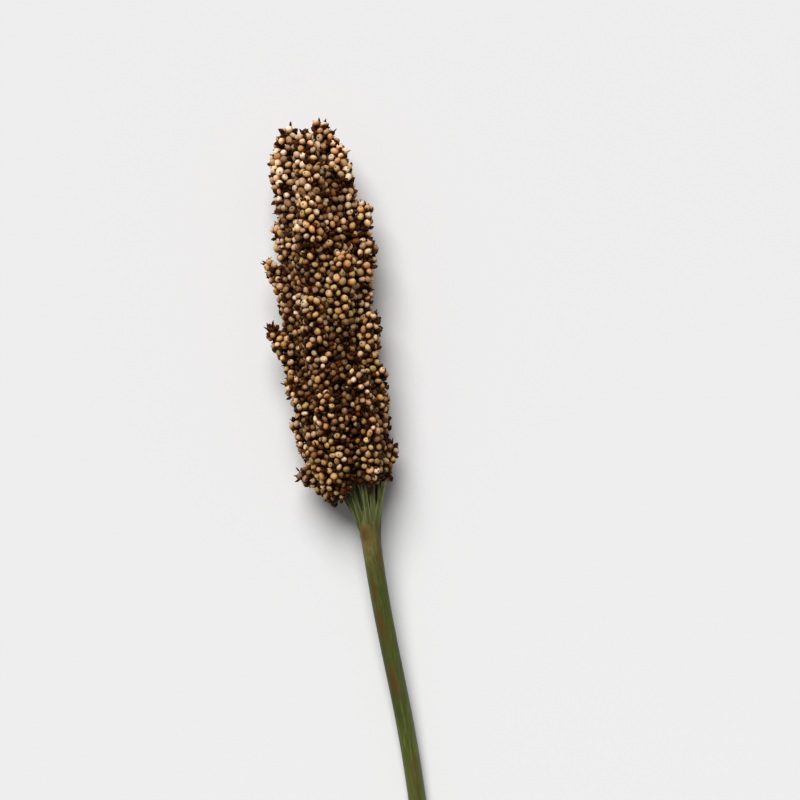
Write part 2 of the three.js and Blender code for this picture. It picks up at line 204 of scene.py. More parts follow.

# The stalk's skin: ribs as number round, turn and depth, and scars as place in millimetres, turn, length in
# millimetres and width. Then the ridges below the rays, the collar, the worn tan skin with painted light
# where the head shades it, the fresh skin, a painted sheen down one side of the lower stalk, and the cut
# face. Turns and widths round the stalk are in radians.
STALK_STEPS = 160
STALK_SIDES = 96
RIBS = ((31, 0.8, 0.03 * MM), (23, 0.0, 0.03 * MM), (7, 2.0, 0.05 * MM))
SCARS = (
    (-9, 2.2, 3.5, 0.7),
    (-38, 2.1, 7, 0.3),
    (-56, 2.0, 10, 0.5),
    (-84, 1.9, 8, 0.5),
    (-104, 4.6, 12, 0.5),
)
SKIN_VALUES = ("scar", "worn", "rim", "fresh", "wax")
SPLIT_RADIUS = 2.2 * MM
RIDGES_FROM = -26 * MM
RIDGE_WIDTH = 0.2
RIDGE_DEPTH = 0.45 * MM
COLLAR_AT = -10 * MM
COLLAR_LENGTH = 1.2 * MM
COLLAR_DEPTH = 0.18 * MM
# Tan worn skin under the rays: partly real, partly painted light that lifts the shade the head casts there.
WORN_AT = -13 * MM
WORN_LENGTH = 13 * MM
WORN_TURN = 2.4
WORN_SHARE = 0.85
FRESH_BELOW = (80 * MM, 140 * MM)
# Painted sheen: a greyish band in the bloom's colour down one side of the lower stalk.
PAINTED_SHEEN_BELOW = (70 * MM, 120 * MM)
PAINTED_SHEEN_TURN = 0.5
PAINTED_SHEEN_WIDTH = 0.35
PAINTED_SHEEN_SHARE = 0.5
CUT_INSET = 0.985
CUT_PROUD = 0.3 * MM
CUT_SUNK = 0.25 * MM
CUT_BACK = 1 * MM

# Starts of the random draws of the operators.
GRAIN_DRAWS = 101
HUSK_DRAWS = 102
SPIKELET_DRAWS = 103
RAY_DRAWS = 104


def srgb(red, green, blue):
    """A colour as seen on screen, 0 to 255, in the linear values that shaders use."""
    shares = (np.array((red, green, blue)) / 255.0).clip(0, 1)
    linear = np.where(shares <= 0.04045, shares / 12.92, ((shares + 0.055) / 1.055) ** 2.4)
    return tuple(float(value) for value in linear)


def length_property(name, description, default):
    """A length that a user may change, with its default in millimetres."""
    default = default * MM
    return FloatProperty(name=name, description=description, default=default, unit="LENGTH", precision=5)


def angle_property(name, description, default):
    """An angle that a user may change, with its default in degrees."""
    default = math.radians(default)
    return FloatProperty(name=name, description=description, default=default, subtype="ANGLE")


def colour_property(name, description, default):
    """A colour that a user may change."""
    return FloatVectorProperty(
        name=name, description=description, default=default, subtype="COLOR", size=3, min=0, max=1
    )


class SORGHUM_PG_head(bpy.types.PropertyGroup):
    """The form of the head: its outline, its fingers and the hollow at its base."""

    rest_at: length_property("Rest at", "Distance of the resting spot, the frame's origin", 90)
    base: length_property("Base", "Distance of the first grains", 5)
    belly: length_property("Belly", "Distance of the widest place", 90)
    tip: length_property("Tip", "Distance of the tip", 200)
    radius: length_property("Radius", "Radius at the belly", 26.5)
    base_shift: length_property("Base shift", "Sideways place of the lower middle line", -4.6)
    tip_shift: length_property("Tip shift", "Sideways place of the upper middle line", 0.8)
    shift_from: length_property("Shift from", "Distance where the middle line starts to sway", 80)
    shift_to: length_property("Shift to", "Distance where the sway ends", 150)
    middle_height: length_property("Middle height", "Middle line above the floor", 23.4)
    middle_rise: FloatProperty(name="Middle rise", description="Rise of the middle line", default=0.02)
    finger_count: IntProperty(name="Fingers", description="Drawn fingers before crowded ones go", default=34)
    finger_links: IntProperty(name="Links", description="Balls along each finger", default=12)
    finger_seed: IntProperty(name="Finger seed", description="Start of the fingers' draws", default=7)
    finger_length: length_property("Finger length", "Length of a finger", 50)
    finger_belly: length_property("Finger belly", "Radius of a finger's thickest ball", 9.6)
    finger_end: length_property("Finger end", "Radius of a finger's last ball", 6.2)
    finger_sunk: length_property("Finger sunk", "Depth of a finger's root under the outline", 4)
    base_sunk: length_property("Base sunk", "The same for the lowest fingers", 0.5)
    finger_out: length_property("Finger out", "Height of a finger's tip over the outline", 2.2)
    finger_spacing: length_property("Finger spacing", "Room kept round a placed tip", 17)
    tips_from: length_property("Tips from", "Distance of the first drawn tip", 36)
    tips_to: length_property("Tips to", "Distance of the last drawn tip", 192)
    core_depth: length_property("Core depth", "Depth of the core under the outline", 8)
    hollow_depth: length_property("Hollow depth", "How far the hollow reaches into the head", 34)
    hollow_radius: length_property("Hollow radius", "Radius of the hollow's narrow end", 4.7)
    hollow_slope: FloatProperty(name="Hollow slope", description="Widening of the hollow", default=0.36)


class SORGHUM_PG_grains(bpy.types.PropertyGroup):
    """The grains, their husks and the barren spikelets between them."""

    width: length_property("Grain width", "Width of an average grain", 3.7)
    spacing: length_property("Grain spacing", "From the middle of one grain to the next", 3.5)
    unevenness: length_property("Unevenness", "How deep a grain may sit behind its neighbours", 1.5)
    gap_share: FloatProperty(name="Gaps", description="Share of missing outer grains", default=0.06)
    seed: IntProperty(name="Seed", description="Start of the grains' draws", default=23)
    spikelet_length: length_property("Spikelet length", "Length of a barren spikelet", 3.4)
    spikelet_share: FloatProperty(name="Spikelets", description="Barren spikelets per grain", default=0.4)
    pale: colour_property("Pale grain", "Palest beige grains", srgb(226, 204, 176))
    beige: colour_property("Beige grain", "The commonest grains", srgb(222, 194, 156))
    tan: colour_property("Tan grain", "Darker tan grains", srgb(206, 174, 128))
    ochre: colour_property("Ochre grain", "Brown-yellow grains", srgb(188, 150, 98))
    orange: colour_property("Orange grain", "Orange-brown grains", srgb(194, 142, 88))
    peach: colour_property("Peach grain", "Peach grains", srgb(214, 174, 136))
    khaki: colour_property("Khaki grain", "Greenish tan grains", srgb(194, 168, 116))
    olive: colour_property("Olive grain", "Unripe olive-yellow grains", srgb(160, 142, 82))
    base_brown: colour_property("Grain base", "Red-brown at a grain's base", srgb(78, 34, 5))
    # Partly a real orange-brown and partly painted shade on the side of each grain that turns away.
    edge: colour_property("Grain edge", "Orange-brown towards a grain's base", srgb(172, 106, 46))
    # Painted shade: this colour darkens and warms grains with a low shade value, mostly deep ones.
    shaded: colour_property("Shaded", "Multiplies the colour of grains that sit deep", srgb(170, 126, 62))
    dot: colour_property("Tip dot", "Dark dot left by the flower", srgb(46, 24, 10))
    husk_dark: colour_property("Dark husk", "Most husks", srgb(52, 26, 4))
    husk_red: colour_property("Red husk", "Red-brown husks", srgb(88, 40, 10))
    husk_straw: colour_property("Straw husk", "Husks that stayed greenish straw", srgb(118, 98, 46))


class SORGHUM_PG_stalk(bpy.types.PropertyGroup):
    """The stalk, its rays and the rachis inside the head."""

    length: length_property("Length", "From the cut to where the rays part", 160)
    cut_radius: length_property("Cut radius", "Radius at the cut", 4.4)
    top_radius: length_property("Top radius", "Radius where the rays part", 5)
    top_height: length_property("Top height", "Height of the top's middle above the floor", 21.6)
    bow: FloatProperty(name="Bow", description="How late the stalk rises", default=1.3)
    sway: length_property("Sway", "Sideways sway", 0.9)
    split_at: length_property("Split at", "Where the full stalk ends among its rays", -5)
    ray_count: IntProperty(name="Rays", description="Rays that fan out of the top", default=11)
    ray_from: length_property("Rays from", "Where the rays are rooted", -14)
    ray_bend: length_property("Ray bend", "Up to here a ray runs along the stalk", -3)
    ray_first: length_property("First ray end", "Distance where the shortest ray meets the head", 15)
    ray_last: length_property("Last ray end", "Distance where the longest ray meets the head", 27)
    ray_thick: length_property("Ray root radius", "Radius of a ray's root", 1.9)
    ray_thin: length_property("Ray end radius", "Radius of a ray's end", 1.05)
    rachis_length: length_property("Rachis length", "Length of the thick rachis", 62)
    rachis_thick: length_property("Rachis root radius", "Radius of the rachis's root", 3.6)
    rachis_thin: length_property("Rachis end radius", "Radius of the rachis's end", 2.2)
    green: colour_property("Green", "Main olive green", srgb(72, 80, 27))
    deep: colour_property("Deep green", "Darker green bands", srgb(52, 66, 22))
    # Also the colour of the painted sheen down one side of the lower stalk.
    light: colour_property("Light green", "Yellow-green streaks", srgb(100, 106, 38))
    bloom: colour_property("Bloom", "Greyish waxy bloom", srgb(98, 106, 74))
    worn: colour_property("Worn skin", "Tan skin round the collar", srgb(132, 112, 60))
    # Partly real tan skin, partly painted light where the head shades the stalk.
    rim: colour_property("Ray rim", "Pale rims of the rays", srgb(160, 162, 112))
    # Partly the rays' real pale rims, partly painted light where the head shades them.
    blotch: colour_property("Blotch", "Brown blotches and scars", srgb(88, 58, 14))
    pith: colour_property("Pith", "Pale inside at the cut", srgb(198, 200, 150))


class SORGHUM_PG_stage(bpy.types.PropertyGroup):
    """The camera above the head, the pale floor and the soft light."""

    lean: angle_property("Lean", "Turn of the stalk in the picture", 9.6)
    field: length_property("Field", "Width of the view at the head's silhouette", 400)
    distance: length_property("Camera distance", "Camera above the head's silhouette", 1200)
    aim_x: length_property("Aim across", "Sideways place of the picture's middle", 25.6)
    aim_at: length_property("Aim along", "Distance of the picture's middle", 54)
    floor: colour_property("Floor", "Pale floor", (0.84, 0.835, 0.835))
    key_strength: FloatProperty(name="Key light", description="Strength of the soft sun", default=3.5)
    key_spread: angle_property("Key softness", "Angle of the soft sun", 38)
    fill_strength: FloatProperty(name="Fill light", description="Strength of the room's light", default=0.16)


def seeded_draws(seed):
    """A repeatable stream of numbers between 0 and 1, the one that the solid head was grown with."""
    state = seed
    while True:
        state = (state + 0x6D2B79F5) & WORD
        mixed = ((state ^ (state >> 15)) * (1 | state)) & WORD
        step = ((mixed ^ (mixed >> 7)) * (61 | mixed)) & WORD
        mixed = ((mixed + step) & WORD) ^ mixed
        yield ((mixed ^ (mixed >> 14)) & WORD) / (WORD + 1)


def mix(a, b, share):
    """The value a share of the way from a to b."""
    return a + (b - a) * share


def smooth_step(value, low, high):
    """0 below low, 1 above high and a smooth rise between."""
    share = np.clip((value - low) / (high - low), 0, 1)
    return share * share * (3 - 2 * share)


def unit(vectors):
    """Vectors brought to length 1."""
    return vectors / np.maximum(np.linalg.norm(vectors, axis=-1, keepdims=True), 1e-12)


def squared_distances(points, others):
    """The squared distance from each point to each of the others."""
    return (points**2).sum(1)[:, None] + (others**2).sum(1)[None] - 2 * points @ others.T


@dataclass
class Finger:
    """One branch of the head: the middles and radii of its balls, from its root to its tip."""

    middles: np.ndarray
    radii: np.ndarray


class HeadForm:
    """The closed form that the grains cover: fingers on a core, cut flat below and hollow at the base."""

    def __init__(self, head, stalk):
        self.head = head
        self.stalk = stalk
        self.fingers = [self.finger(*tip) for tip in self.tips()]
        self.middles = np.concatenate([finger.middles for finger in self.fingers])
        self.radii = np.concatenate([finger.radii for finger in self.fingers])
        self.owners = np.repeat(np.arange(len(self.fingers)), head.finger_links)

    def outline_radius(self, at):
        """Radius of the head's outline at a distance."""
        head = self.head
        at = np.asarray(at, float)
        low = np.clip((head.belly - at) / (head.belly - head.base), 0, 1)
        high = np.clip((at - head.belly) / (head.tip - head.belly), 0, 1)
        blunt_base = (1 - low**4) ** 0.4
        round_tip = (1 - high**3.5) ** 0.5
        return head.radius * np.where(at < head.belly, blunt_base, round_tip)

    def middle(self, at):
        """The head's middle line at a distance."""
        head = self.head
        at = np.asarray(at, float)
        across = mix(head.base_shift, head.tip_shift, smooth_step(at, head.shift_from, head.shift_to))
        along = at - head.rest_at
        return np.stack([across, along, head.middle_height + head.middle_rise * along], -1)

    def point(self, at, radius, bearing):
        """A point at a distance, a radius and a bearing about the middle line."""
        outward = np.stack([np.cos(bearing), np.zeros_like(bearing), np.sin(bearing)], -1)
        return self.middle(at) + np.asarray(radius)[..., None] * outward

    def tips(self):
        """Every finger's tip: the placed ones, then drawn ones in golden-angle order where there is room."""
        head = self.head
        draw = seeded_draws(head.finger_seed)
        tips = [(at * MM, math.radians(turn), out * MM, size, 0.0) for at, turn, out, size in PLACED_TIPS]
        placed = [self.point(at, self.outline_radius(at), bearing) for at, bearing, *_ in tips]
        for index in range(head.finger_count):
            share = (index + 0.5) / head.finger_count
            at = mix(head.tips_from, head.tips_to, share) + AT_JITTER * (next(draw) - 0.5)
            bearing = index * GOLDEN_ANGLE + BEARING_JITTER * (next(draw) - 0.5)
            out = OUT_JITTER * (next(draw) - 0.5)
            size = LEAST_SIZE + SIZE_JITTER * next(draw)
            lean = LEAN_JITTER * (next(draw) - 0.5)
            spot = self.point(at, self.outline_radius(at), bearing)
            if min(np.linalg.norm(spot - other) for other in placed) >= head.finger_spacing:
                tips.append((at, bearing, out, size, lean))
        return tips

    def finger(self, at, bearing, out, size, lean):
        """The balls of one finger, from its root up to its free tip."""
        head = self.head
        lowest = head.base + head.finger_end
        root = max(at - head.finger_length, lowest)
        sunk = head.finger_sunk if root > lowest + 1e-6 else head.base_sunk
        share = np.linspace(0, 1, head.finger_links)
        place = mix(root, at - head.finger_end * size, share)
        outline = self.outline_radius(place)
        swell = np.sin(np.pi * share) * np.sqrt(outline / head.radius)
        radii = size * (head.finger_end + (head.finger_belly - head.finger_end) * swell)
        stand = -sunk + (sunk + head.finger_out) * share**1.5 + out * share**4
        away = np.maximum(outline - radii + stand, 0)
        middles = self.point(place, away, bearing + lean * (share - 0.5))
        return Finger(middles, radii)

    def nearest_ball(self, points):
        """For each point the ball that it is deepest in, and how far it lies outside that ball."""
        outside = np.sqrt(np.maximum(squared_distances(points, self.middles), 0)) - self.radii
        ball = outside.argmin(1)
        return ball, outside[np.arange(len(points)), ball]

    def feel(self, points):
        """How far each point lies outside the form, below zero inside it, and the way out there."""
        ball, outside = self.nearest_ball(points)
        way = unit(points - self.middles[ball])
        at = points[:, 1] + self.head.rest_at
        spoke = points - self.middle(at)
        spoke[:, 1] = 0
        core = np.linalg.norm(spoke, axis=1) - (self.outline_radius(at) - self.head.core_depth)
        core_wins = core < outside
        outside = np.where(core_wins, core, outside)
        way = np.where(core_wins[:, None], unit(spoke), way)
        for cut, cut_way in (self.hollow(points, at), self.floor(points)):
            cut_wins = cut > outside
            outside = np.where(cut_wins, cut, outside)
            way = np.where(cut_wins[:, None], cut_way, way)
        return outside, way

    def floor(self, points):
        """The surface that the head lies on, as a cut."""
        return -points[:, 2], np.broadcast_to(np.array([0.0, 0.0, -1.0]), points.shape)

    def hollow_radius(self, at):
        """Radius of the hollow round the rays at a distance."""
        return self.head.hollow_radius + self.head.hollow_slope * (self.head.hollow_depth - at)

    def hollow(self, points, at):
        """The hollow round the rays, as a cut, with the way that leads into it."""
        spoke = points - np.array([0, 0, self.stalk.top_height])
        spoke[:, 1] = 0
        slope = math.atan(self.head.hollow_slope)
        inside = (self.hollow_radius(at) - np.linalg.norm(spoke, axis=1)) * math.cos(slope)
        inside = np.where(at < self.head.hollow_depth, inside, -1.0)
        way = -unit(spoke) * math.cos(slope)
        way[:, 1] = -math.sin(slope)
        return inside, way

    def candidates(self, count, inset, draw):
        """Points scattered over the form's surface, a little under it."""
        head = self.head
        share = self.radii**2 / (self.radii**2).sum()
        ball = draw.choice(len(self.radii), size=count, p=share)
        rays = unit(draw.normal(size=(count, 3)))
        on_fingers = self.middles[ball] + rays * (self.radii[ball] - inset)[:, None]
        at = draw.uniform(head.base, head.tip, count // 3)
        bearing = draw.uniform(0, math.tau, count // 3)
        on_core = self.point(at, np.maximum(self.outline_radius(at) - head.core_depth - inset, 0), bearing)
        low, high = self.middles.min(0), self.middles.max(0)
        on_floor = draw.uniform(low, high, (count // 3, 3))
        on_floor[:, 2] = inset
        at = draw.uniform(head.base, head.hollow_depth, count // 6)
        bearing = draw.uniform(0, math.tau, count // 6)
        radius = self.hollow_radius(at) + inset / math.cos(math.atan(head.hollow_slope))
        across, up = radius * np.cos(bearing), self.stalk.top_height + radius * np.sin(bearing)
        on_hollow = np.stack([across, at - head.rest_at, up], -1)
        points = np.concatenate([on_fingers, on_core, on_floor, on_hollow])
        outside, _ = self.feel(points)
        kept = points[np.abs(outside + inset) < DEPTH_TOLERANCE]
        return kept[draw.permutation(len(kept))]

    def settle(self, points, inset):
        """Points brought to their depth under the form's surface."""
        for _ in range(3):
            outside, way = self.feel(points)
            points = points - way * (outside + inset)[:, None]
        return points


def throw_darts(candidates, spacing, taken):
    """The candidates that keep a spacing to each other and to the points already taken."""
    cells = {}
    for point in taken:
        cells.setdefault(tuple((point // spacing).astype(int)), []).append(point)
    kept = []
    for point in candidates:
        i, j, k = (point // spacing).astype(int)
        near = (
            other
            for a in (i - 1, i, i + 1)
            for b in (j - 1, j, j + 1)
            for c in (k - 1, k, k + 1)
            for other in cells.get((a, b, c), ())
        )
        if all((point - other) @ (point - other) >= spacing * spacing for other in near):
            cells.setdefault((i, j, k), []).append(point)
            kept.append(point)
    return np.array(kept).reshape(-1, 3)


def push_apart(push, points, others, spacing, strength):
    """Adds to each point's push what drives it off the others that are nearer than the spacing."""
    first, second = np.nonzero(squared_distances(points, others) < spacing * spacing)
    if others is points:
        first, second = first[first != second], second[first != second]
    gap = points[first] - others[second]
    size = np.maximum(np.linalg.norm(gap, axis=1, keepdims=True), 1e-9)
    np.add.at(push, first, strength * (spacing - size) * gap / size)


def relax(form, points, inset, spacing, fixed):
    """Points pushed apart to an even spacing, while they stay at their depth and clear of fixed ones."""
    for _ in range(RELAX_ROUNDS):
        push = np.zeros_like(points)
        push_apart(push, points, points, spacing, OWN_PUSH)
        push_apart(push, points, fixed, spacing, FIXED_PUSH)
        points = form.settle(points + push, inset)
    return points


def lay_layer(form, inset, spacing, fixed, draw, darts):
    """One layer of grain middles at a depth: darts, an even spread, and darts again in the holes."""
    candidates = form.candidates(darts, inset, draw)
    points = throw_darts(candidates, THROWN_ROOM * spacing, fixed)
    points = relax(form, points, inset, spacing, fixed)
    points = throw_darts(points, SPREAD_ROOM * spacing, NO_POINTS)
    more = throw_darts(candidates, HOLE_ROOM * spacing, np.concatenate([fixed, points]))
    points = relax(form, np.concatenate([points, more]), inset, spacing, fixed)
    return throw_darts(points, LEAST_ROOM * spacing, NO_POINTS)


@dataclass
class Grains:
    """Where the grains of one layer sit, the way each tip points, and how each one differs."""

    middles: np.ndarray
    ways: np.ndarray
    sizes: np.ndarray
    rolls: np.ndarray
    tints: np.ndarray
    shades: np.ndarray

    def only(self, kept):
        """The grains that a mask keeps."""
        return Grains(**{name: values[kept] for name, values in vars(self).items()})


def swell(points, draw, lengths):
    """A smooth random value about 0 at each point, made of four waves of each of the given lengths."""
    waves = [length for length in lengths for _ in range(4)]
    total = np.zeros(len(points))
    for length in waves:
        way = unit(draw.normal(size=3))
        total += np.sin(points @ way * math.tau / length + draw.uniform(0, math.tau))
    return total / len(waves) ** 0.5


def lay_grains(form, sizes, layer, fixed, draw):
    """The grains of one layer, each pointing outwards and up towards the head's tip."""
    depth, darts, painted_depth_light = layer
    middles = lay_layer(form, sizes.width / 2 + depth, sizes.spacing, fixed, draw, darts)
    _, outward = form.feel(middles)
    ball, _ = form.nearest_ball(middles)
    total = len(middles)
    sunk = SUNK_ALONE * draw.uniform(0, 1, total) + SUNK_TOGETHER * (1 + swell(middles, draw, SUNK_WAVES))
    middles = middles - sizes.unevenness * np.clip(sunk, 0, 1)[:, None] * outward
    at = middles[:, 1] + form.head.rest_at
    height = at / form.head.tip
    # Painted shade: grains that sit deep in the creases between fingers are made darker.
    away = np.linalg.norm((middles - form.middle(at))[:, [0, 2]], axis=1)
    crease = smooth_step(form.outline_radius(at) - away, *CREASE_DEPTHS)
    finger_tint = draw.normal(0, FINGER_TINT, len(form.fingers))
    tints = draw.beta(*TINT_SPREAD, total) + finger_tint[form.owners[ball]] + BASE_TINT * (0.5 - height)
    ways = unit(outward + TIP_LEAN * ALONG + LEAN_SCATTER * draw.normal(size=(total, 3)))
    widths = sizes.width * draw.uniform(*WIDTH_SPREAD, total) * mix(BASE_WIDTH, TIP_WIDTH, height)
    rolls = draw.uniform(0, math.tau, total)
    # Random tone, plus painted light that makes grains lighter towards the head's tip, where the light falls
    # more fully.
    tone_and_tip_light = DULLEST + SHADE_SPREAD * draw.uniform(0, 1, total) + PAINTED_TIP_LIGHT * height**1.5
    return Grains(
        middles=middles,
        ways=ways,
        sizes=widths,
        rolls=rolls,
        tints=np.clip(tints, 0.01, 0.99),
        # Painted shade: grains in the creases between fingers and in the deeper layers are made darker.
        shades=np.clip(tone_and_tip_light, 0, 1) - CREASE_SHADE * crease + painted_depth_light - 1,
    )


def fill_holes(form, sizes, layers, draw):
    """Places for empty husks in what holes the layers leave, so that the floor doesn't show through."""
    taken = np.concatenate([layer.middles for layer in layers])
    low, high = form.middles.min(0) - HOLE_MARGIN, form.middles.max(0) + HOLE_MARGIN
    darts = draw.uniform(low, high, (HOLE_DARTS, 3))
    outside = np.concatenate([form.feel(part)[0] for part in np.array_split(darts, 8)])
    shallow = (outside < -HOLE_DEPTHS[0]) & (outside > -HOLE_DEPTHS[1])
    return throw_darts(darts[shallow], HUSK_ROOM * sizes.width, taken)


def settings(name):
    """One group of this add-on's settings."""
    return getattr(bpy.context.scene, "sorghum_" + name)


@lru_cache(maxsize=None)
def grown_head():
    """The head's form, its three layers of grains and the holes between them, grown once for all."""
    sizes = settings("grains")
    form = HeadForm(settings("head"), settings("stalk"))
    draw = np.random.default_rng(sizes.seed)
    outer = lay_grains(form, sizes, OUTER_LAYER, NO_POINTS, draw)
    missing = swell(outer.middles, draw, GAP_WAVES) + draw.normal(0, GAP_SCATTER, len(outer.middles))
    outer = outer.only(missing < np.quantile(missing, 1 - sizes.gap_share))
    inner = lay_grains(form, sizes, INNER_LAYER, outer.middles, draw)
    deep = lay_grains(form, sizes, DEEP_LAYER, inner.middles, draw)
    holes = fill_holes(form, sizes, (outer, inner, deep), draw)
    return form, outer, inner, deep, holes


@dataclass
class Shape:
    """A small closed mesh to repeat, with a value at each point that runs between its tip and its base."""

    points: np.ndarray
    triangles: np.ndarray
    polar: np.ndarray


def around(sides):
    """Equal angles all round, one for each side."""
    return np.arange(sides) * math.tau / sides


def ring_triangles(rings, sides):
    """Two triangles for each side between each ring of points and the next."""
    ring, side = np.divmod(np.arange((rings - 1) * sides), sides)
    here, after = ring * sides + side, ring * sides + (side + 1) % sides
    pairs = ((here, after, after + sides), (here, after + sides, here + sides))
    return np.concatenate([np.stack(corners, -1) for corners in pairs])


def tube_triangles(rings, sides):
    """The triangles of rings of points joined to a tube, with a fan over each end."""
    corner = np.arange(1, sides - 1)
    last = (rings - 1) * sides
    first_fan = np.stack([0 * corner, corner + 1, corner], -1)
    last_fan = last + first_fan[:, [0, 2, 1]]
    return np.concatenate([ring_triangles(rings, sides), first_fan, last_fan])


def turned_shape(heights, radii, sides, polar):
    """A closed shape turned about Z, from its tip at the first height to its base at the last."""
    heights, radii, polar = (np.array(each, float) for each in (heights, radii, polar))
    ring = radii[1:-1, None]
    across, front = ring * np.cos(around(sides)), ring * np.sin(around(sides))
    rings = np.stack([across, front, heights[1:-1, None] + 0 * across], -1).reshape(-1, 3)
    points = np.concatenate([[(0, 0, heights[0])], rings, [(0, 0, heights[-1])]])
    side = np.arange(sides)
    after = (side + 1) % sides
    base = len(points) - 1
    last = base - sides
    tip_fan = np.stack([0 * side, 1 + side, 1 + after], -1)
    base_fan = np.stack([base + 0 * side, last + after, last + side], -1)
    skin = 1 + ring_triangles(len(heights) - 2, sides)[:, ::-1]
    along = np.concatenate([polar[:1], np.repeat(polar[1:-1], sides), polar[-1:]])
    return Shape(points, np.concatenate([tip_fan, skin, base_fan]), along)


# Angles from a grain's tip of the rings of its skin: fine for the outer layer, plainer for those below.
FINE_POLAR = (0, 0.14, 0.34, 0.72, 1.15, 1.6, 2.1, 2.65, math.pi)
PLAIN_POLAR = (0, 0.4, 1.0, 1.6, 2.3, math.pi)
ROUGH_POLAR = (0, 0.75, 1.6, 2.4, math.pi)


def grain_shape(sides, polar):
    """One grain of width 1: nearly round, a little pointed at its base, with a small pit at its tip."""
    polar = np.array(polar)
    pit = 0.035 * (1 - smooth_step(polar, 0.0, 0.3))
    narrow = 1 - 0.1 * smooth_step(polar, 1.7, math.pi)
    heights = 0.48 * np.cos(polar) * (1 + 0.1 * smooth_step(polar, 2.0, math.pi)) - pit
    radii = 0.5 * np.sin(polar) * narrow
    return turned_shape(heights, radii, sides, polar / math.pi)


def husk_shape(reach):
    """One husk of a grain of width 1: a thin scale with its point at an angle of reach from the tip."""
    columns, rows = 4, 3
    row, column = (each.reshape(-1) for each in np.indices((rows + 1, columns + 1)))
    across, up = 2 * column / columns - 1, row / rows
    top = np.radians(reach + (HUSK_SIDE - reach) * np.abs(across) ** 1.3)
    polar = mix(math.radians(HUSK_BASE), top, up)
    turn = across * math.radians(HUSK_WRAP) * (1 - 0.35 * up)
    border = (row % rows == 0) | (column % columns == 0)
    points = []
    for thickness in (HUSK_THICKNESS, 0.0):
        radius = 0.5 * (1.04 + 0.14 * up * up) + thickness * ~border
        ring = radius * np.sin(polar)
        points.append(np.stack([ring * np.cos(turn), ring * np.sin(turn), radius * np.cos(polar)], -1))
    a = np.flatnonzero((row < rows) & (column < columns))
    b, c, d = a + 1, a + columns + 2, a + columns + 1
    outer = np.concatenate([np.stack([a, b, c], -1), np.stack([a, c, d], -1)])
    inner = (np.arange(len(row)) + len(row) * ~border)[outer[:, ::-1]]
    return clean_shape(Shape(np.concatenate(points), np.concatenate([outer, inner]), np.tile(up, 2)))


def clean_shape(shape):
    """A shape without the points that no triangle uses."""
    used, triangles = np.unique(shape.triangles, return_inverse=True)
    return Shape(shape.points[used], triangles.reshape(-1, 3), shape.polar[used])


def spikelet_shape():
    """One barren spikelet of length 1: a closed, slightly bent and flattened point."""
    heights = (1.0, 0.82, 0.5, 0.2, 0.0)
    shape = turned_shape(heights, (0.0, 0.08, 0.16, 0.12, 0.0), 6, heights)
    shape.points[:, 0] += 0.16 * shape.points[:, 2] ** 2
    shape.points[:, 1] *= 0.7
    return shape


def empty_husk_shape():
    """One empty husk of length 1: a closed pod, thickest below its middle, with its origin there."""
    heights = (0.58, 0.38, 0.08, -0.24, -0.42)
    return turned_shape(heights, (0.0, 0.2, 0.36, 0.28, 0.0), 6, (1.0, 0.8, 0.5, 0.2, 0.0))


def frames_along(ways, rolls):
    """For each way a square set of axes with its third axis on it, turned by a roll."""
    helper = np.where(np.abs(ways[:, 2:]) < 0.9, [[0.0, 0.0, 1.0]], [[1.0, 0.0, 0.0]])
    side = unit(np.cross(helper, ways))
    front = np.cross(ways, side)
    cos, sin = np.cos(rolls)[:, None], np.sin(rolls)[:, None]
    return np.stack([side * cos + front * sin, front * cos - side * sin, ways], 1)


def make_piece(name, points, triangles, finish, values, node):
    """One piece of the head: its mesh, its finish and the values its finish reads; the solid of its node is
    hidden.
    """
    mesh = bpy.data.meshes.new(name)
    mesh.from_pydata(points.tolist(), [], triangles.tolist())
    mesh.polygons.foreach_set("use_smooth", np.ones(len(triangles), bool))
    for key, value in values.items():
        attribute = mesh.attributes.new(key, "FLOAT", "POINT")
        attribute.data.foreach_set("value", np.asarray(value, np.float32))
    mesh.materials.append(finish)
    piece = bpy.data.objects.new(name, mesh)
    bpy.context.scene.collection.objects.link(piece)
    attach(piece, "root")
    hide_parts(node)


def scatter(name, shape, middles, frames, scales, finish, bends=None, **values):
    """One piece of many copies of a shape, none below the floor, each with values of its own."""
    local = shape.points[None] * scales[:, None, :]
    if bends is not None:
        stretch = np.einsum("pi,nij,pj->np", unit(shape.points), bends, unit(shape.points))
        local = local * (1 + stretch[..., None])
    points = (middles[:, None] + np.einsum("npi,nij->npj", local, frames)).reshape(-1, 3)
    points[:, 2] = np.maximum(points[:, 2], 0)
    steps = np.arange(len(middles))[:, None, None] * len(shape.points)
    triangles = (shape.triangles[None] + steps).reshape(-1, 3)
    values = {key: np.repeat(value, len(shape.points)) for key, value in values.items()}
    values["polar"] = np.tile(shape.polar, len(middles))
    make_piece(name, points, triangles, finish, values, "seed_head")


def tubes(paths, radii, sides, flatten=1.0):
    """Closed tubes along many paths of equally many points, with a radius for each step or each corner."""
    count, steps = paths.shape[:2]
    ahead = unit(np.gradient(paths, axis=1))
    helper = np.where(np.abs(ahead[:, :1, 2:]) < 0.8, [[[0.0, 0.0, 1.0]]], [[[1.0, 0.0, 0.0]]])
    side = unit(np.cross(ahead, helper))
    front = np.cross(side, ahead)
    cos, sin = np.cos(around(sides))[:, None], flatten * np.sin(around(sides))[:, None]
    spokes = side[:, :, None] * cos + front[:, :, None] * sin
    points = paths[:, :, None] + spokes * radii[..., None]
    offsets = np.arange(count)[:, None, None] * steps * sides
    triangles = tube_triangles(steps, sides)[None] + offsets
    return points.reshape(-1, 3), triangles.reshape(-1, 3)


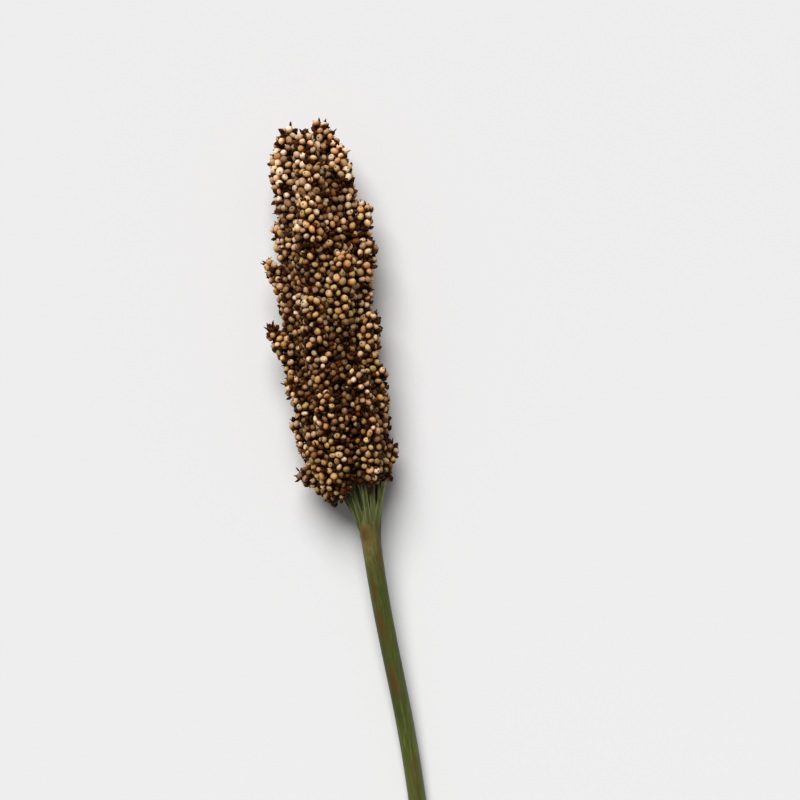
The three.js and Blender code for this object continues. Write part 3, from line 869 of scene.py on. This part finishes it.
class Wire:
    """A value in a material's node tree, so that shader maths reads as a formula."""

    def __init__(self, finish, socket):
        self.finish = finish
        self.socket = socket

    def math(self, operation, *values):
        """A Math node on this and other values."""
        return self.finish.node("ShaderNodeMath", {"operation": operation}, dict(enumerate(values)))

    def __add__(self, other):
        return self.math("ADD", self, other)

    __radd__ = __add__

    def __sub__(self, other):
        return self.math("SUBTRACT", self, other)

    def __rsub__(self, other):
        return self.math("SUBTRACT", other, self)

    def __mul__(self, other):
        return self.math("MULTIPLY", self, other)

    __rmul__ = __mul__

    def smooth(self, low, high):
        """0 below low, 1 above high and a smooth rise between."""
        sockets = {"Value": self, "From Min": low, "From Max": high}
        return self.finish.node("ShaderNodeMapRange", {"interpolation_type": "SMOOTHSTEP"}, sockets)

    def between(self, low, high):
        """A value of 0 to 1 spread over a range."""
        sockets = {"Value": self, "To Min": low, "To Max": high}
        return self.finish.node("ShaderNodeMapRange", {"clamp": False}, sockets)


class Finish:
    """A procedural material under construction."""

    def __init__(self, name):
        self.material = bpy.data.materials.new(name)
        self.material.use_nodes = True
        self.tree = self.material.node_tree
        self.shader = self.tree.nodes["Principled BSDF"]
        self.place = self.node("ShaderNodeTexCoord", output="Object")

    def node(self, kind, made_with=None, sockets=None, output=0):
        """Adds a node, with its settings first, then the value or the wire of each socket."""
        made = self.tree.nodes.new(kind)
        for key, value in (made_with or {}).items():
            if key == "stops":
                self.set_stops(made.color_ramp, value)
            else:
                setattr(made, key, value)
        for key, value in (sockets or {}).items():
            self.feed(made.inputs[key], value)
        return Wire(self, made.outputs[output])

    def set_stops(self, ramp, stops):
        """The colours of a ramp and where they stand."""
        while len(ramp.elements) < len(stops):
            ramp.elements.new(0.5)
        for element, (place, colour) in zip(ramp.elements, stops):
            element.position = place
            element.color = (*colour, 1)

    def feed(self, socket, value):
        """A wire or a plain value into a socket."""
        if isinstance(value, Wire):
            self.tree.links.new(value.socket, socket)
        elif hasattr(socket.default_value, "__len__") and len(socket.default_value) == 4:
            socket.default_value = (*value, 1)
        else:
            socket.default_value = value

    def set(self, **sockets):
        """Feeds the shader's own sockets, each named in small letters with underscores for spaces."""
        names = {socket.name.lower().replace(" ", "_"): socket for socket in self.shader.inputs}
        for key, value in sockets.items():
            self.feed(names[key], value)
        return self.material

    def value(self, name):
        """A value kept at each point of the mesh."""
        return self.node("ShaderNodeAttribute", {"attribute_name": name}, output="Fac")

    def noise(self, scale, detail=2.0, stretch=(1, 1, 1), rough=0.55):
        """Soft noise about 0.5, at a scale in cycles per metre, that may be drawn out along an axis."""
        place = self.node("ShaderNodeMapping", {}, {"Vector": self.place, "Scale": stretch})
        sockets = {"Vector": place, "Scale": scale, "Detail": detail, "Roughness": rough}
        return self.node("ShaderNodeTexNoise", {}, sockets)

    def ramp(self, value, stops):
        """A colour looked up on a ramp."""
        return self.node("ShaderNodeValToRGB", {"stops": stops}, {"Fac": value})

    def mix(self, first, second, share, blend="MIX"):
        """Two colours mixed by a share."""
        made_with = {"data_type": "RGBA", "blend_type": blend}
        return self.node("ShaderNodeMix", made_with, {0: share, 6: first, 7: second}, output=2)

    def lit(self, colour, value):
        """A colour made lighter or darker by a value."""
        grey = self.node("ShaderNodeCombineColor", {}, {0: value, 1: value, 2: value})
        return self.mix(colour, grey, 1.0, "MULTIPLY")

    def bump(self, height, strength, distance):
        """A surface raised by a height."""
        sockets = {"Strength": strength, "Distance": distance, "Height": height}
        return self.node("ShaderNodeBump", {}, sockets)


@lru_cache(maxsize=None)
def grain_finish():
    """Satin grain skin: one of many tans for each grain, red-brown at its base, a dark dot at its tip, and
    painted light and shade from each grain's shade value.
    """
    tones = settings("grains")
    finish = Finish("grain_skin")
    tint, shade, polar, spot = (finish.value(name) for name in ("tint", "shade", "polar", "spot"))
    mottle = finish.noise(700, 3.0)
    speck = finish.noise(3200, 2.0)
    worn = finish.noise(420, 3.0, rough=0.7)
    stops = (
        (0.0, tones.pale),
        (0.16, tones.beige),
        (0.28, tones.peach),
        (0.42, tones.tan),
        (0.54, tones.orange),
        (0.68, tones.ochre),
        (0.84, tones.khaki),
        (1.0, tones.olive),
    )
    uneven = mottle - 0.5
    colour = finish.ramp(tint + 0.3 * uneven, stops)
    # Orange-brown towards each grain's base: partly its real colour, partly painted shade where the grain
    # turns away.
    colour = finish.mix(colour, tones.edge, 0.6 * (polar + 0.3 * uneven).smooth(0.18, 0.44))
    colour = finish.mix(colour, tones.base_brown, 0.5 * worn.smooth(0.56, 0.72))
    # Red-brown base: partly the grain's real colour, partly painted shade where it sinks among its husks.
    colour = finish.mix(colour, tones.base_brown, (polar + 0.2 * uneven).smooth(0.34, 0.66))
    colour = finish.mix(colour, tones.base_brown, 0.7 * spot * (1 - polar.smooth(0.06, 0.12)))
    colour = finish.mix(colour, tones.dot, spot * (1 - polar.smooth(0.04, 0.07)))
    # Painted shade and light: grains with a low shade value are darkened and warmed, those with a high one
    # lightened.
    shaded = finish.mix(colour, tones.shaded, 1.0, "MULTIPLY")
    colour = finish.mix(shaded, colour, shade.smooth(-0.2, 0.7))
    light = (shade.between(0.45, 1.5) + 0.3 * (speck - 0.5)) * mottle.between(0.8, 1.2)
    colour = finish.lit(colour, light)
    normal = finish.bump(speck + mottle, 0.25, 0.06 * MM)
    roughness = 0.4 + 0.25 * speck
    return finish.set(base_color=colour, roughness=roughness, normal=normal, specular_ior_level=0.14)


@lru_cache(maxsize=None)
def husk_finish():
    """Thin husks: near black, red-brown or straw, each paler at its edge."""
    tones = settings("grains")
    finish = Finish("husk")
    tint, polar = finish.value("tint"), finish.value("polar")
    vein = finish.noise(1500, 3.0)
    stops = (
        (0.0, tones.husk_dark),
        (0.55, tones.husk_dark),
        (0.75, tones.husk_red),
        (0.9, tones.husk_red),
        (1.0, tones.husk_straw),
    )
    colour = finish.ramp(tint, stops)
    colour = finish.mix(colour, tones.husk_straw, 0.35 * polar.smooth(0.8, 1.0))
    colour = finish.lit(colour, vein.between(0.6, 1.4))
    normal = finish.bump(vein, 0.3, 0.05 * MM)
    roughness = 0.5 + 0.25 * vein
    return finish.set(base_color=colour, roughness=roughness, normal=normal, specular_ior_level=0.08)


@lru_cache(maxsize=None)
def stem_finish():
    """The thin stems in the head: dull green with brown."""
    finish = Finish("head_stem")
    streak = finish.noise(260, 3.0, (1, 0.2, 1))
    browns, greens = settings("grains"), settings("stalk")
    colour = finish.mix(browns.base_brown, greens.deep, streak.smooth(0.35, 0.6))
    normal = finish.bump(streak, 0.3, 0.1 * MM)
    roughness = 0.6 + 0.1 * streak
    return finish.set(base_color=colour, roughness=roughness, normal=normal, specular_ior_level=0.15)


@lru_cache(maxsize=None)
def stalk_finish():
    """The stalk's skin: olive green with long bands and fine streaks, waxy bloom, a painted sheen down one
    side and red-brown blotches.
    """
    tones = settings("stalk")
    finish = Finish("stalk_skin")
    band = finish.noise(150, 2.0, (1, 0.05, 1))
    streak = finish.noise(1100, 3.0, (1, 0.025, 1))
    patch = finish.noise(42, 2.0, (1.6, 0.5, 1.6))
    fleck = finish.noise(520, 4.0, (1, 0.4, 1), 0.7)
    scar, worn, rim, fresh, wax = (finish.value(name) for name in SKIN_VALUES)
    colour = finish.mix(tones.green, tones.deep, band.smooth(0.42, 0.66))
    colour = finish.mix(colour, tones.light, 0.6 * streak.smooth(0.5, 0.72) + 0.4 * fresh)
    colour = finish.mix(colour, tones.deep, 0.7 * (1 - streak.smooth(0.3, 0.46)))
    # Waxy bloom in patches, and a painted sheen in the bloom's colour down one side of the lower stalk.
    colour = finish.mix(colour, tones.bloom, 0.3 * patch.smooth(0.5, 0.75) + wax)
    # Tan worn skin, partly real and partly painted light under the head's shade.
    colour = finish.mix(colour, tones.worn, worn * fleck.smooth(0.2, 0.65))
    # Pale ray rims, partly real and partly painted light.
    colour = finish.mix(colour, tones.rim, rim)
    colour = finish.mix(colour, tones.blotch, 0.4 * (patch * band).smooth(0.3, 0.42))
    colour = finish.mix(colour, tones.blotch, scar * (0.4 + 0.6 * fleck.smooth(0.3, 0.6)))
    colour = finish.lit(colour, fleck.between(0.85, 1.15))
    normal = finish.bump(0.7 * streak + 0.3 * fleck, 0.35, 0.12 * MM)
    roughness = 0.45 + 0.25 * fleck
    return finish.set(base_color=colour, roughness=roughness, normal=normal, specular_ior_level=0.3)


@lru_cache(maxsize=None)
def cut_finish():
    """The cut end: pale moist pith full of darker strands, in a green rim."""
    tones = settings("stalk")
    finish = Finish("stalk_cut")
    strands = finish.node("ShaderNodeTexVoronoi", {}, {"Vector": finish.place, "Scale": 1300})
    fibre = finish.noise(1800, 3.0)
    colour = finish.mix(tones.pith, tones.light, 0.6 * fibre.smooth(0.4, 0.7))
    colour = finish.mix(colour, tones.blotch, 0.7 * (1 - strands.smooth(0.12, 0.3)))
    colour = finish.mix(colour, tones.deep, finish.value("rim").smooth(0.86, 0.93))
    normal = finish.bump(fibre - strands, 0.5, 0.15 * MM)
    return finish.set(base_color=colour, roughness=0.55 + 0.2 * fibre, normal=normal)


def floor_finish():
    """The pale floor, matt and almost plain."""
    finish = Finish("pale_floor")
    tone = finish.noise(1.5, 1.0)
    colour = finish.lit(settings("stage").floor, tone.between(0.97, 1.0))
    return finish.set(base_color=colour, roughness=0.9 + 0.05 * tone)


class SORGHUM_OT_grains(bpy.types.Operator):
    """Cover the head with its grains, with two deeper layers below them"""

    bl_idname = "sorghum.grains"
    bl_label = "Grains"

    def execute(self, context):
        _, outer, inner, deep, _ = grown_head()
        draw = np.random.default_rng(GRAIN_DRAWS)
        along = outer.middles[:, 1]
        limits = np.quantile(along, (0, 1 / 3, 2 / 3, 1))
        for part, name in enumerate(("grains_low", "grains_middle", "grains_high")):
            below_end = (along < limits[part + 1]) | (part == 2)
            here = outer.only((along >= limits[part]) & below_end)
            self.make(name, here, grain_shape(14, FINE_POLAR), draw)
        self.make("grains_inner", inner, grain_shape(9, PLAIN_POLAR), draw)
        self.make("grains_deep", deep, grain_shape(7, ROUGH_POLAR), draw)
        return {"FINISHED"}

    def make(self, name, grains, shape, draw):
        """One piece of grains, each a little flattened, drawn out, uneven and turned."""
        count = len(grains.middles)
        flat, long = draw.uniform(*GRAIN_FLAT, count), draw.uniform(*GRAIN_LONG, count)
        scales = grains.sizes[:, None] * np.stack([np.ones(count), flat, long], 1)
        bends = draw.normal(0, GRAIN_BEND, (count, 3, 3))
        bends = (bends + bends.transpose(0, 2, 1)) / 2
        scatter(
            name,
            shape,
            grains.middles,
            frames_along(grains.ways, grains.rolls),
            scales,
            grain_finish(),
            bends,
            tint=grains.tints,
            shade=grains.shades,
            spot=np.clip(draw.uniform(*SPOT_SPREAD, count), FAINTEST_SPOT, 1),
        )


def loose_husks(name, shape, middles, ways, draw, length, lengths, axis, widths, top_tint=1.0):
    """One piece of husks that hold no grain, each with its own length, width on an axis, turn and tint."""
    count = len(middles)
    scales = np.repeat(length * draw.uniform(*lengths, count), 3).reshape(-1, 3)
    scales[:, axis] *= draw.uniform(*widths, count)
    frames = frames_along(ways, draw.uniform(0, math.tau, count))
    tints = top_tint * draw.uniform(0, 1, count)
    scatter(name, shape, middles, frames, scales, husk_finish(), tint=tints)


class SORGHUM_OT_husks(bpy.types.Operator):
    """Wrap the base of each outer grain in its two husks, and fill the holes with empty ones"""

    bl_idname = "sorghum.husks"
    bl_label = "Husks"

    def execute(self, context):
        form, outer, _, _, holes = grown_head()
        draw = np.random.default_rng(HUSK_DRAWS)
        long = draw.uniform(size=len(outer.middles)) < LONG_HUSK_SHARE
        self.wrap("husks_long", outer.only(long), husk_shape(LONG_HUSK_REACH), draw)
        self.wrap("husks_short", outer.only(~long), husk_shape(SHORT_HUSK_REACH), draw)
        _, outward = form.feel(holes)
        ways = unit(outward + EMPTY_LEAN * ALONG + EMPTY_SCATTER * draw.normal(size=holes.shape))
        loose_husks(
            "husks_empty",
            empty_husk_shape(),
            holes,
            ways,
            draw,
            length=settings("grains").width,
            lengths=(0.8, 1.1),
            axis=1,
            widths=(0.7, 1.0),
            top_tint=0.8,
        )
        return {"FINISHED"}

    def wrap(self, name, grains, shape, draw):
        """Two husks of one shape round each of some grains."""
        count = len(grains.middles)
        tints = draw.uniform(0, 1, count)
        frames, sizes = [], []
        for turn in (0.0, math.pi):
            rolls = grains.rolls + turn + draw.normal(0, HUSK_TURN, count)
            sizes.append(grains.sizes * draw.uniform(*HUSK_FIT, count))
            ways = unit(grains.ways + HUSK_TILT * draw.normal(size=(count, 3)))
            frames.append(frames_along(ways, rolls))
        middles = np.tile(grains.middles, (2, 1))
        scales = np.concatenate(sizes)[:, None] * np.ones(3)
        scatter(name, shape, middles, np.concatenate(frames), scales, husk_finish(), tint=np.tile(tints, 2))


class SORGHUM_OT_spikelets(bpy.types.Operator):
    """Set slim barren spikelets between the grains, and a tuft of them on each finger's tip"""

    bl_idname = "sorghum.spikelets"
    bl_label = "Barren spikelets"

    def execute(self, context):
        form, outer = grown_head()[:2]
        sizes = settings("grains")
        draw = np.random.default_rng(SPIKELET_DRAWS)
        chosen = draw.uniform(size=len(outer.middles)) < sizes.spikelet_share
        grains = outer.only(chosen & (outer.middles[:, 2] > SPIKELET_CLEAR * sizes.width))
        beside = frames_along(grains.ways, grains.rolls)[:, 0]
        roots = grains.middles + sizes.width * (SPIKELET_BESIDE * beside - SPIKELET_BELOW * grains.ways)
        scattered = SPIKELET_SCATTER * draw.normal(size=grains.ways.shape)
        ways = unit(grains.ways + SPIKELET_LEAN * beside + scattered)
        tufts, tuft_ways = self.tufts(form, draw)
        loose_husks(
            "barren_spikelets",
            spikelet_shape(),
            np.concatenate([roots, tufts]),
            np.concatenate([ways, tuft_ways]),
            draw,
            length=sizes.spikelet_length,
            lengths=(0.65, 1.15),
            axis=0,
            widths=(0.8, 1.3),
        )
        return {"FINISHED"}

    def tufts(self, form, draw):
        """Roots and ways of the spikelets on the fingers' tips, away from the floor."""
        roots, ways = [], []
        for finger in form.fingers:
            ahead = unit(finger.middles[-1] - finger.middles[-3])
            for _ in range(TUFT_SPIKELETS):
                way = unit(ahead + TUFT_SPREAD * draw.normal(size=3))
                root = finger.middles[-1] + way * (finger.radii[-1] - TUFT_ROOT)
                if root[2] > TUFT_LOWEST:
                    roots.append(root)
                    ways.append(way)
        return np.array(roots), np.array(ways)


class SORGHUM_OT_stems(bpy.types.Operator):
    """Carry each grain on a thin stem, and each finger on its own axis"""

    bl_idname = "sorghum.stems"
    bl_label = "Stems in the head"

    def execute(self, context):
        form, outer = grown_head()[:2]
        base = outer.middles - STEM_BELOW * outer.sizes[:, None] * outer.ways
        ball, _ = form.nearest_ball(outer.middles)
        links = settings("head").finger_links
        lower = np.where(ball % links > 0, ball - 1, ball)
        root = form.middles[lower]
        bend = mix(base, root, STEM_BEND) - STEM_DROOP * outer.ways
        axes = np.stack([finger.middles for finger in form.fingers])
        thick = np.linspace(*AXIS_RADII, links)
        self.make("grain_stems", np.stack([base, bend, root], 1), np.array(STEM_RADII), 3)
        self.make("finger_axes", axes, thick, 8)
        return {"FINISHED"}

    def make(self, name, paths, radii, sides):
        """One piece of thin stems."""
        points, triangles = tubes(paths, radii[:, None], sides)
        make_piece(name, points, triangles, stem_finish(), {}, "seed_head")


def skin_values(copies, shape, **given):
    """The values that the stalk's finish reads at copies of rings of points, each 0 unless it is given."""
    spread = {name: np.broadcast_to(given.get(name, 0.0), shape).reshape(-1) for name in SKIN_VALUES}
    return {name: np.tile(value, copies) for name, value in spread.items()}


def bell(value, width):
    """1 where a value is 0, and a smooth fall over a width on both sides."""
    return np.exp(-((value / width) ** 2))


def turn_between(angles, turn):
    """How far each angle is from a turn, the short way round."""
    return np.angle(np.exp(1j * (angles - turn)))


def stalk_middle(at):
    """The stalk's middle line at a distance below its top."""
    stalk = settings("stalk")
    share = 1 + np.asarray(at) / stalk.length
    across = stalk.sway * np.sin(math.tau * share)
    height = stalk.cut_radius + (stalk.top_height - stalk.cut_radius) * share**stalk.bow
    return np.stack([across, at - settings("head").rest_at, height], -1)


def ray_bearings():
    """The bearing of each ray about the stalk's top."""
    return np.arange(settings("stalk").ray_count) * GOLDEN_ANGLE + FIRST_BEARING


def top_point(at, radius, bearing):
    """A point at a distance, a radius and a bearing about the stalk's top, which slopes up to the head."""
    stalk = settings("stalk")
    slope = (stalk.top_height - stalk.cut_radius) * stalk.bow / stalk.length
    height = stalk.top_height + slope * min(at, 0)
    along = at - settings("head").rest_at
    return np.array([radius * math.cos(bearing), along, height + radius * math.sin(bearing)])


def bezier(start, bend, end, steps):
    """Points along a curve from start to end that is drawn towards bend."""
    share = np.linspace(0, 1, steps)[:, None]
    return (1 - share) ** 2 * start + 2 * share * (1 - share) * bend + share**2 * end


class SORGHUM_OT_rays(bpy.types.Operator):
    """Part the stalk's top into rays that fan out, fork and run into the head"""

    bl_idname = "sorghum.rays"
    bl_label = "Rays and rachis"

    def execute(self, context):
        form = grown_head()[0]
        stalk, head = settings("stalk"), settings("head")
        draw = np.random.default_rng(RAY_DRAWS)
        rays, twigs = [], []
        for index, bearing in enumerate(ray_bearings()):
            share = (index * LENGTH_STEP) % stalk.ray_count / (stalk.ray_count - 1)
            end = mix(stalk.ray_first, stalk.ray_last, share)
            start = top_point(stalk.ray_from, RAY_ROOT_OUT, bearing)
            bend = top_point(stalk.ray_bend, RAY_BEND_OUT, bearing)
            goal = top_point(end, form.hollow_radius(end) + RAY_BURIED, bearing)
            ray = bezier(start, bend, goal, RAY_STEPS)
            rays.append(ray)
            for turn in (-1, 1):
                fork = int(draw.integers(*FORK_STEPS))
                reach = end + draw.uniform(0, TWIG_EXTRA)
                away = form.hollow_radius(reach) + TWIG_BURIED
                goal = top_point(reach, away, bearing + turn * draw.uniform(*TWIG_SPREAD))
                twigs.append(bezier(ray[fork], ray[fork + 3], goal, TWIG_STEPS))
        self.make("rays", rays, (stalk.ray_thick, stalk.ray_thin), 20, RAY_FLATTEN)
        self.make("twigs", twigs, TWIG_RADII, 12, TWIG_FLATTEN)
        deep = stalk.rachis_length
        on_stalk_line = form.middle(deep / 3) * (0, 1, 1)
        middle = bezier(top_point(stalk.ray_from, 0, 0), on_stalk_line, form.middle(deep), RACHIS_STEPS)
        beyond = form.middle(np.linspace(deep, head.tip - RACHIS_SHORT, RACHIS_STEPS + 1)[1:])
        tip = np.concatenate([middle[-2:], beyond])
        self.make("rachis", [middle], (stalk.rachis_thick, stalk.rachis_thin), 20, 1.0)
        self.make("rachis_tip", [tip], (stalk.rachis_thin, RACHIS_TIP_RADIUS), 12, 1.0)
        return {"FINISHED"}

    def make(self, name, paths, ends, sides, flatten):
        """Tapered tubes along paths, each with a groove down both flat sides and a pale rim, partly painted
        light, on its edges.
        """
        share = np.linspace(0, 1, len(paths[0]))[:, None]
        parted = smooth_step(share, *PARTED)
        radii = mix(*ends, share) * (1 - GROOVE_DEPTH * parted * np.abs(np.sin(around(sides))) ** 3)
        rim = RIM_SHARE * parted * np.abs(np.cos(around(sides))) ** 4
        points, triangles = tubes(np.stack(paths), radii, sides, flatten)
        values = skin_values(len(paths), rim.shape, rim=rim)
        make_piece(name, points, triangles, stalk_finish(), values, "stalk")


class SORGHUM_OT_stalk(bpy.types.Operator):
    """Make the ribbed stalk, its worn collar under the rays, lightened there as painted light, and its clean
    cut end
    """

    bl_idname = "sorghum.stalk"
    bl_label = "Stalk"

    def execute(self, context):
        stalk = settings("stalk")
        line = mix(-stalk.length, -stalk.split_at, np.linspace(0, 1, STALK_STEPS))
        at, angles = line[:, None], around(STALK_SIDES)
        radii = self.radii(at, angles)
        points, triangles = tubes(stalk_middle(line)[None], radii, STALK_SIDES)
        tan_side = 0.5 + 0.5 * np.cos(angles - WORN_TURN)
        values = skin_values(
            1,
            radii.shape,
            scar=self.scar(at, angles),
            worn=WORN_SHARE * bell(at - WORN_AT, WORN_LENGTH) * tan_side,
            fresh=smooth_step(-at, *FRESH_BELOW),
            wax=PAINTED_SHEEN_SHARE * smooth_step(-at, *PAINTED_SHEEN_BELOW) * bell(turn_between(angles, PAINTED_SHEEN_TURN), PAINTED_SHEEN_WIDTH),
        )
        make_piece("stalk_skin", points, triangles, stalk_finish(), values, "stalk")
        self.cut(radii[0])
        return {"FINISHED"}

    def radii(self, at, angles):
        """The stalk's radius: an even taper, fine ribs, a faint collar and a ridge below each ray."""
        stalk = settings("stalk")
        taper = mix(stalk.cut_radius, stalk.top_radius, (1 + at / stalk.length) ** 4)
        even = mix(taper, SPLIT_RADIUS, smooth_step(at, stalk.split_at, -stalk.split_at))
        near_top = smooth_step(at, RIDGES_FROM, stalk.split_at)
        ribs = sum(depth * np.cos(number * angles + turn) for number, turn, depth in RIBS)
        ridges = bell(turn_between(angles, ray_bearings()[:, None]), RIDGE_WIDTH).max(0)
        ridged = RIDGE_DEPTH * near_top * (ridges - 0.5)
        return even + ribs * (1 - near_top) + ridged + COLLAR_DEPTH * bell(at - COLLAR_AT, COLLAR_LENGTH)

    def scar(self, at, angles):
        """Where old scars have browned the skin."""
        marks = [
            bell(at - place * MM, length * MM) * bell(turn_between(angles, turn), width)
            for place, turn, length, width in SCARS
        ]
        return np.max(marks, 0)

    def cut(self, radii):
        """The cut face: a slightly sunk disc of pith just outside the stalk's end."""
        middle = stalk_middle(-settings("stalk").length)
        sides = len(radii)
        shares = np.linspace(1, 0.08, 9)[:, None]
        ring = CUT_INSET * radii * shares
        x = middle[0] - ring * np.cos(around(sides))
        y = middle[1] - CUT_PROUD + CUT_SUNK * (1 - shares**2) + 0 * ring
        z = middle[2] + ring * np.sin(around(sides))
        rings = np.stack([x, y, z], -1)
        back = rings[:1] * (1, 0, 1) + (0, middle[1] + CUT_BACK, 0)
        points = np.concatenate([back, rings]).reshape(-1, 3)
        rim = np.concatenate([[1], shares[:, 0]]).repeat(sides)
        triangles = tube_triangles(len(shares) + 1, sides)
        make_piece("stalk_cut", points, triangles, cut_finish(), {"rim": rim}, "stalk")


class SORGHUM_OT_stage(bpy.types.Operator):
    """Set the camera above the head, the pale floor and the soft light"""

    bl_idname = "sorghum.stage"
    bl_label = "Stage"

    def execute(self, context):
        self.camera(context.scene)
        self.floor(context.scene)
        self.light(context.scene)
        return {"FINISHED"}

    def camera(self, scene):
        """The camera looks straight down, turned so that the stalk leans as it does in the picture."""
        stage, head = settings("stage"), settings("head")
        data = bpy.data.cameras.new("camera")
        data.sensor_width = 36
        data.lens = data.sensor_width * stage.distance / stage.field
        camera = bpy.data.objects.new("camera", data)
        scene.collection.objects.link(camera)
        aim = Vector((stage.aim_x, stage.aim_at - head.rest_at, head.middle_height + stage.distance))
        camera.matrix_world = Matrix.Translation(aim) @ Matrix.Rotation(-stage.lean, 4, "Z")
        scene.camera = camera

    def floor(self, scene):
        """A wide pale floor under the head."""
        mesh = bpy.data.meshes.new("floor")
        reach = 6.0
        corners = [(-reach, -reach, 0), (reach, -reach, 0), (reach, reach, 0), (-reach, reach, 0)]
        mesh.from_pydata(corners, [], [(0, 1, 2, 3)])
        mesh.materials.append(floor_finish())
        floor = bpy.data.objects.new("floor", mesh)
        scene.collection.objects.link(floor)

    def light(self, scene):
        """A large soft light from above the picture's top, and pale light from all round."""
        stage = settings("stage")
        world = bpy.data.worlds.new("room")
        world.use_nodes = True
        background = world.node_tree.nodes["Background"].inputs
        background["Strength"].default_value = stage.fill_strength
        background["Color"].default_value = (1, 1, 1, 1)
        scene.world = world
        data = bpy.data.lights.new("key", "SUN")
        data.energy = stage.key_strength
        data.angle = stage.key_spread
        key = bpy.data.objects.new("key", data)
        scene.collection.objects.link(key)
        towards = Vector((-0.1, 0.78, 1.0))
        key.rotation_euler = towards.to_track_quat("Z", "Y").to_euler()
        scene.view_settings.view_transform = "Standard"


class SORGHUM_PT_panel(bpy.types.Panel):
    """Lists the steps that dress the head"""

    bl_idname = "SORGHUM_PT_panel"
    bl_label = "Sorghum seed head"
    bl_space_type = "VIEW_3D"
    bl_region_type = "UI"
    bl_category = "Sorghum"

    def draw(self, context):
        for step in STEPS:
            self.layout.operator(step.bl_idname)
        for name, group in GROUPS.items():
            box = self.layout.box()
            box.label(text=name.capitalize())
            for key in group.__annotations__:
                box.prop(settings(name), key)


GROUPS = {
    "head": SORGHUM_PG_head,
    "grains": SORGHUM_PG_grains,
    "stalk": SORGHUM_PG_stalk,
    "stage": SORGHUM_PG_stage,
}
STEPS = (
    SORGHUM_OT_stage,
    SORGHUM_OT_stalk,
    SORGHUM_OT_rays,
    SORGHUM_OT_stems,
    SORGHUM_OT_grains,
    SORGHUM_OT_husks,
    SORGHUM_OT_spikelets,
)
CLASSES = (*GROUPS.values(), *STEPS, SORGHUM_PT_panel)


def register():
    """Makes the settings, the operators and the panel known."""
    for each in CLASSES:
        bpy.utils.register_class(each)
    for name, group in GROUPS.items():
        setattr(bpy.types.Scene, "sorghum_" + name, PointerProperty(type=group))


def unregister():
    """Takes them away again."""
    for name in GROUPS:
        delattr(bpy.types.Scene, "sorghum_" + name)
    for each in reversed(CLASSES):
        bpy.utils.unregister_class(each)


def main():
    """Dresses the head: makes its settings known and runs each step."""
    register()
    for step in STEPS:
        group, name = step.bl_idname.split(".")
        getattr(getattr(bpy.ops, group), name)()


if __name__ == "__main__":
    main()
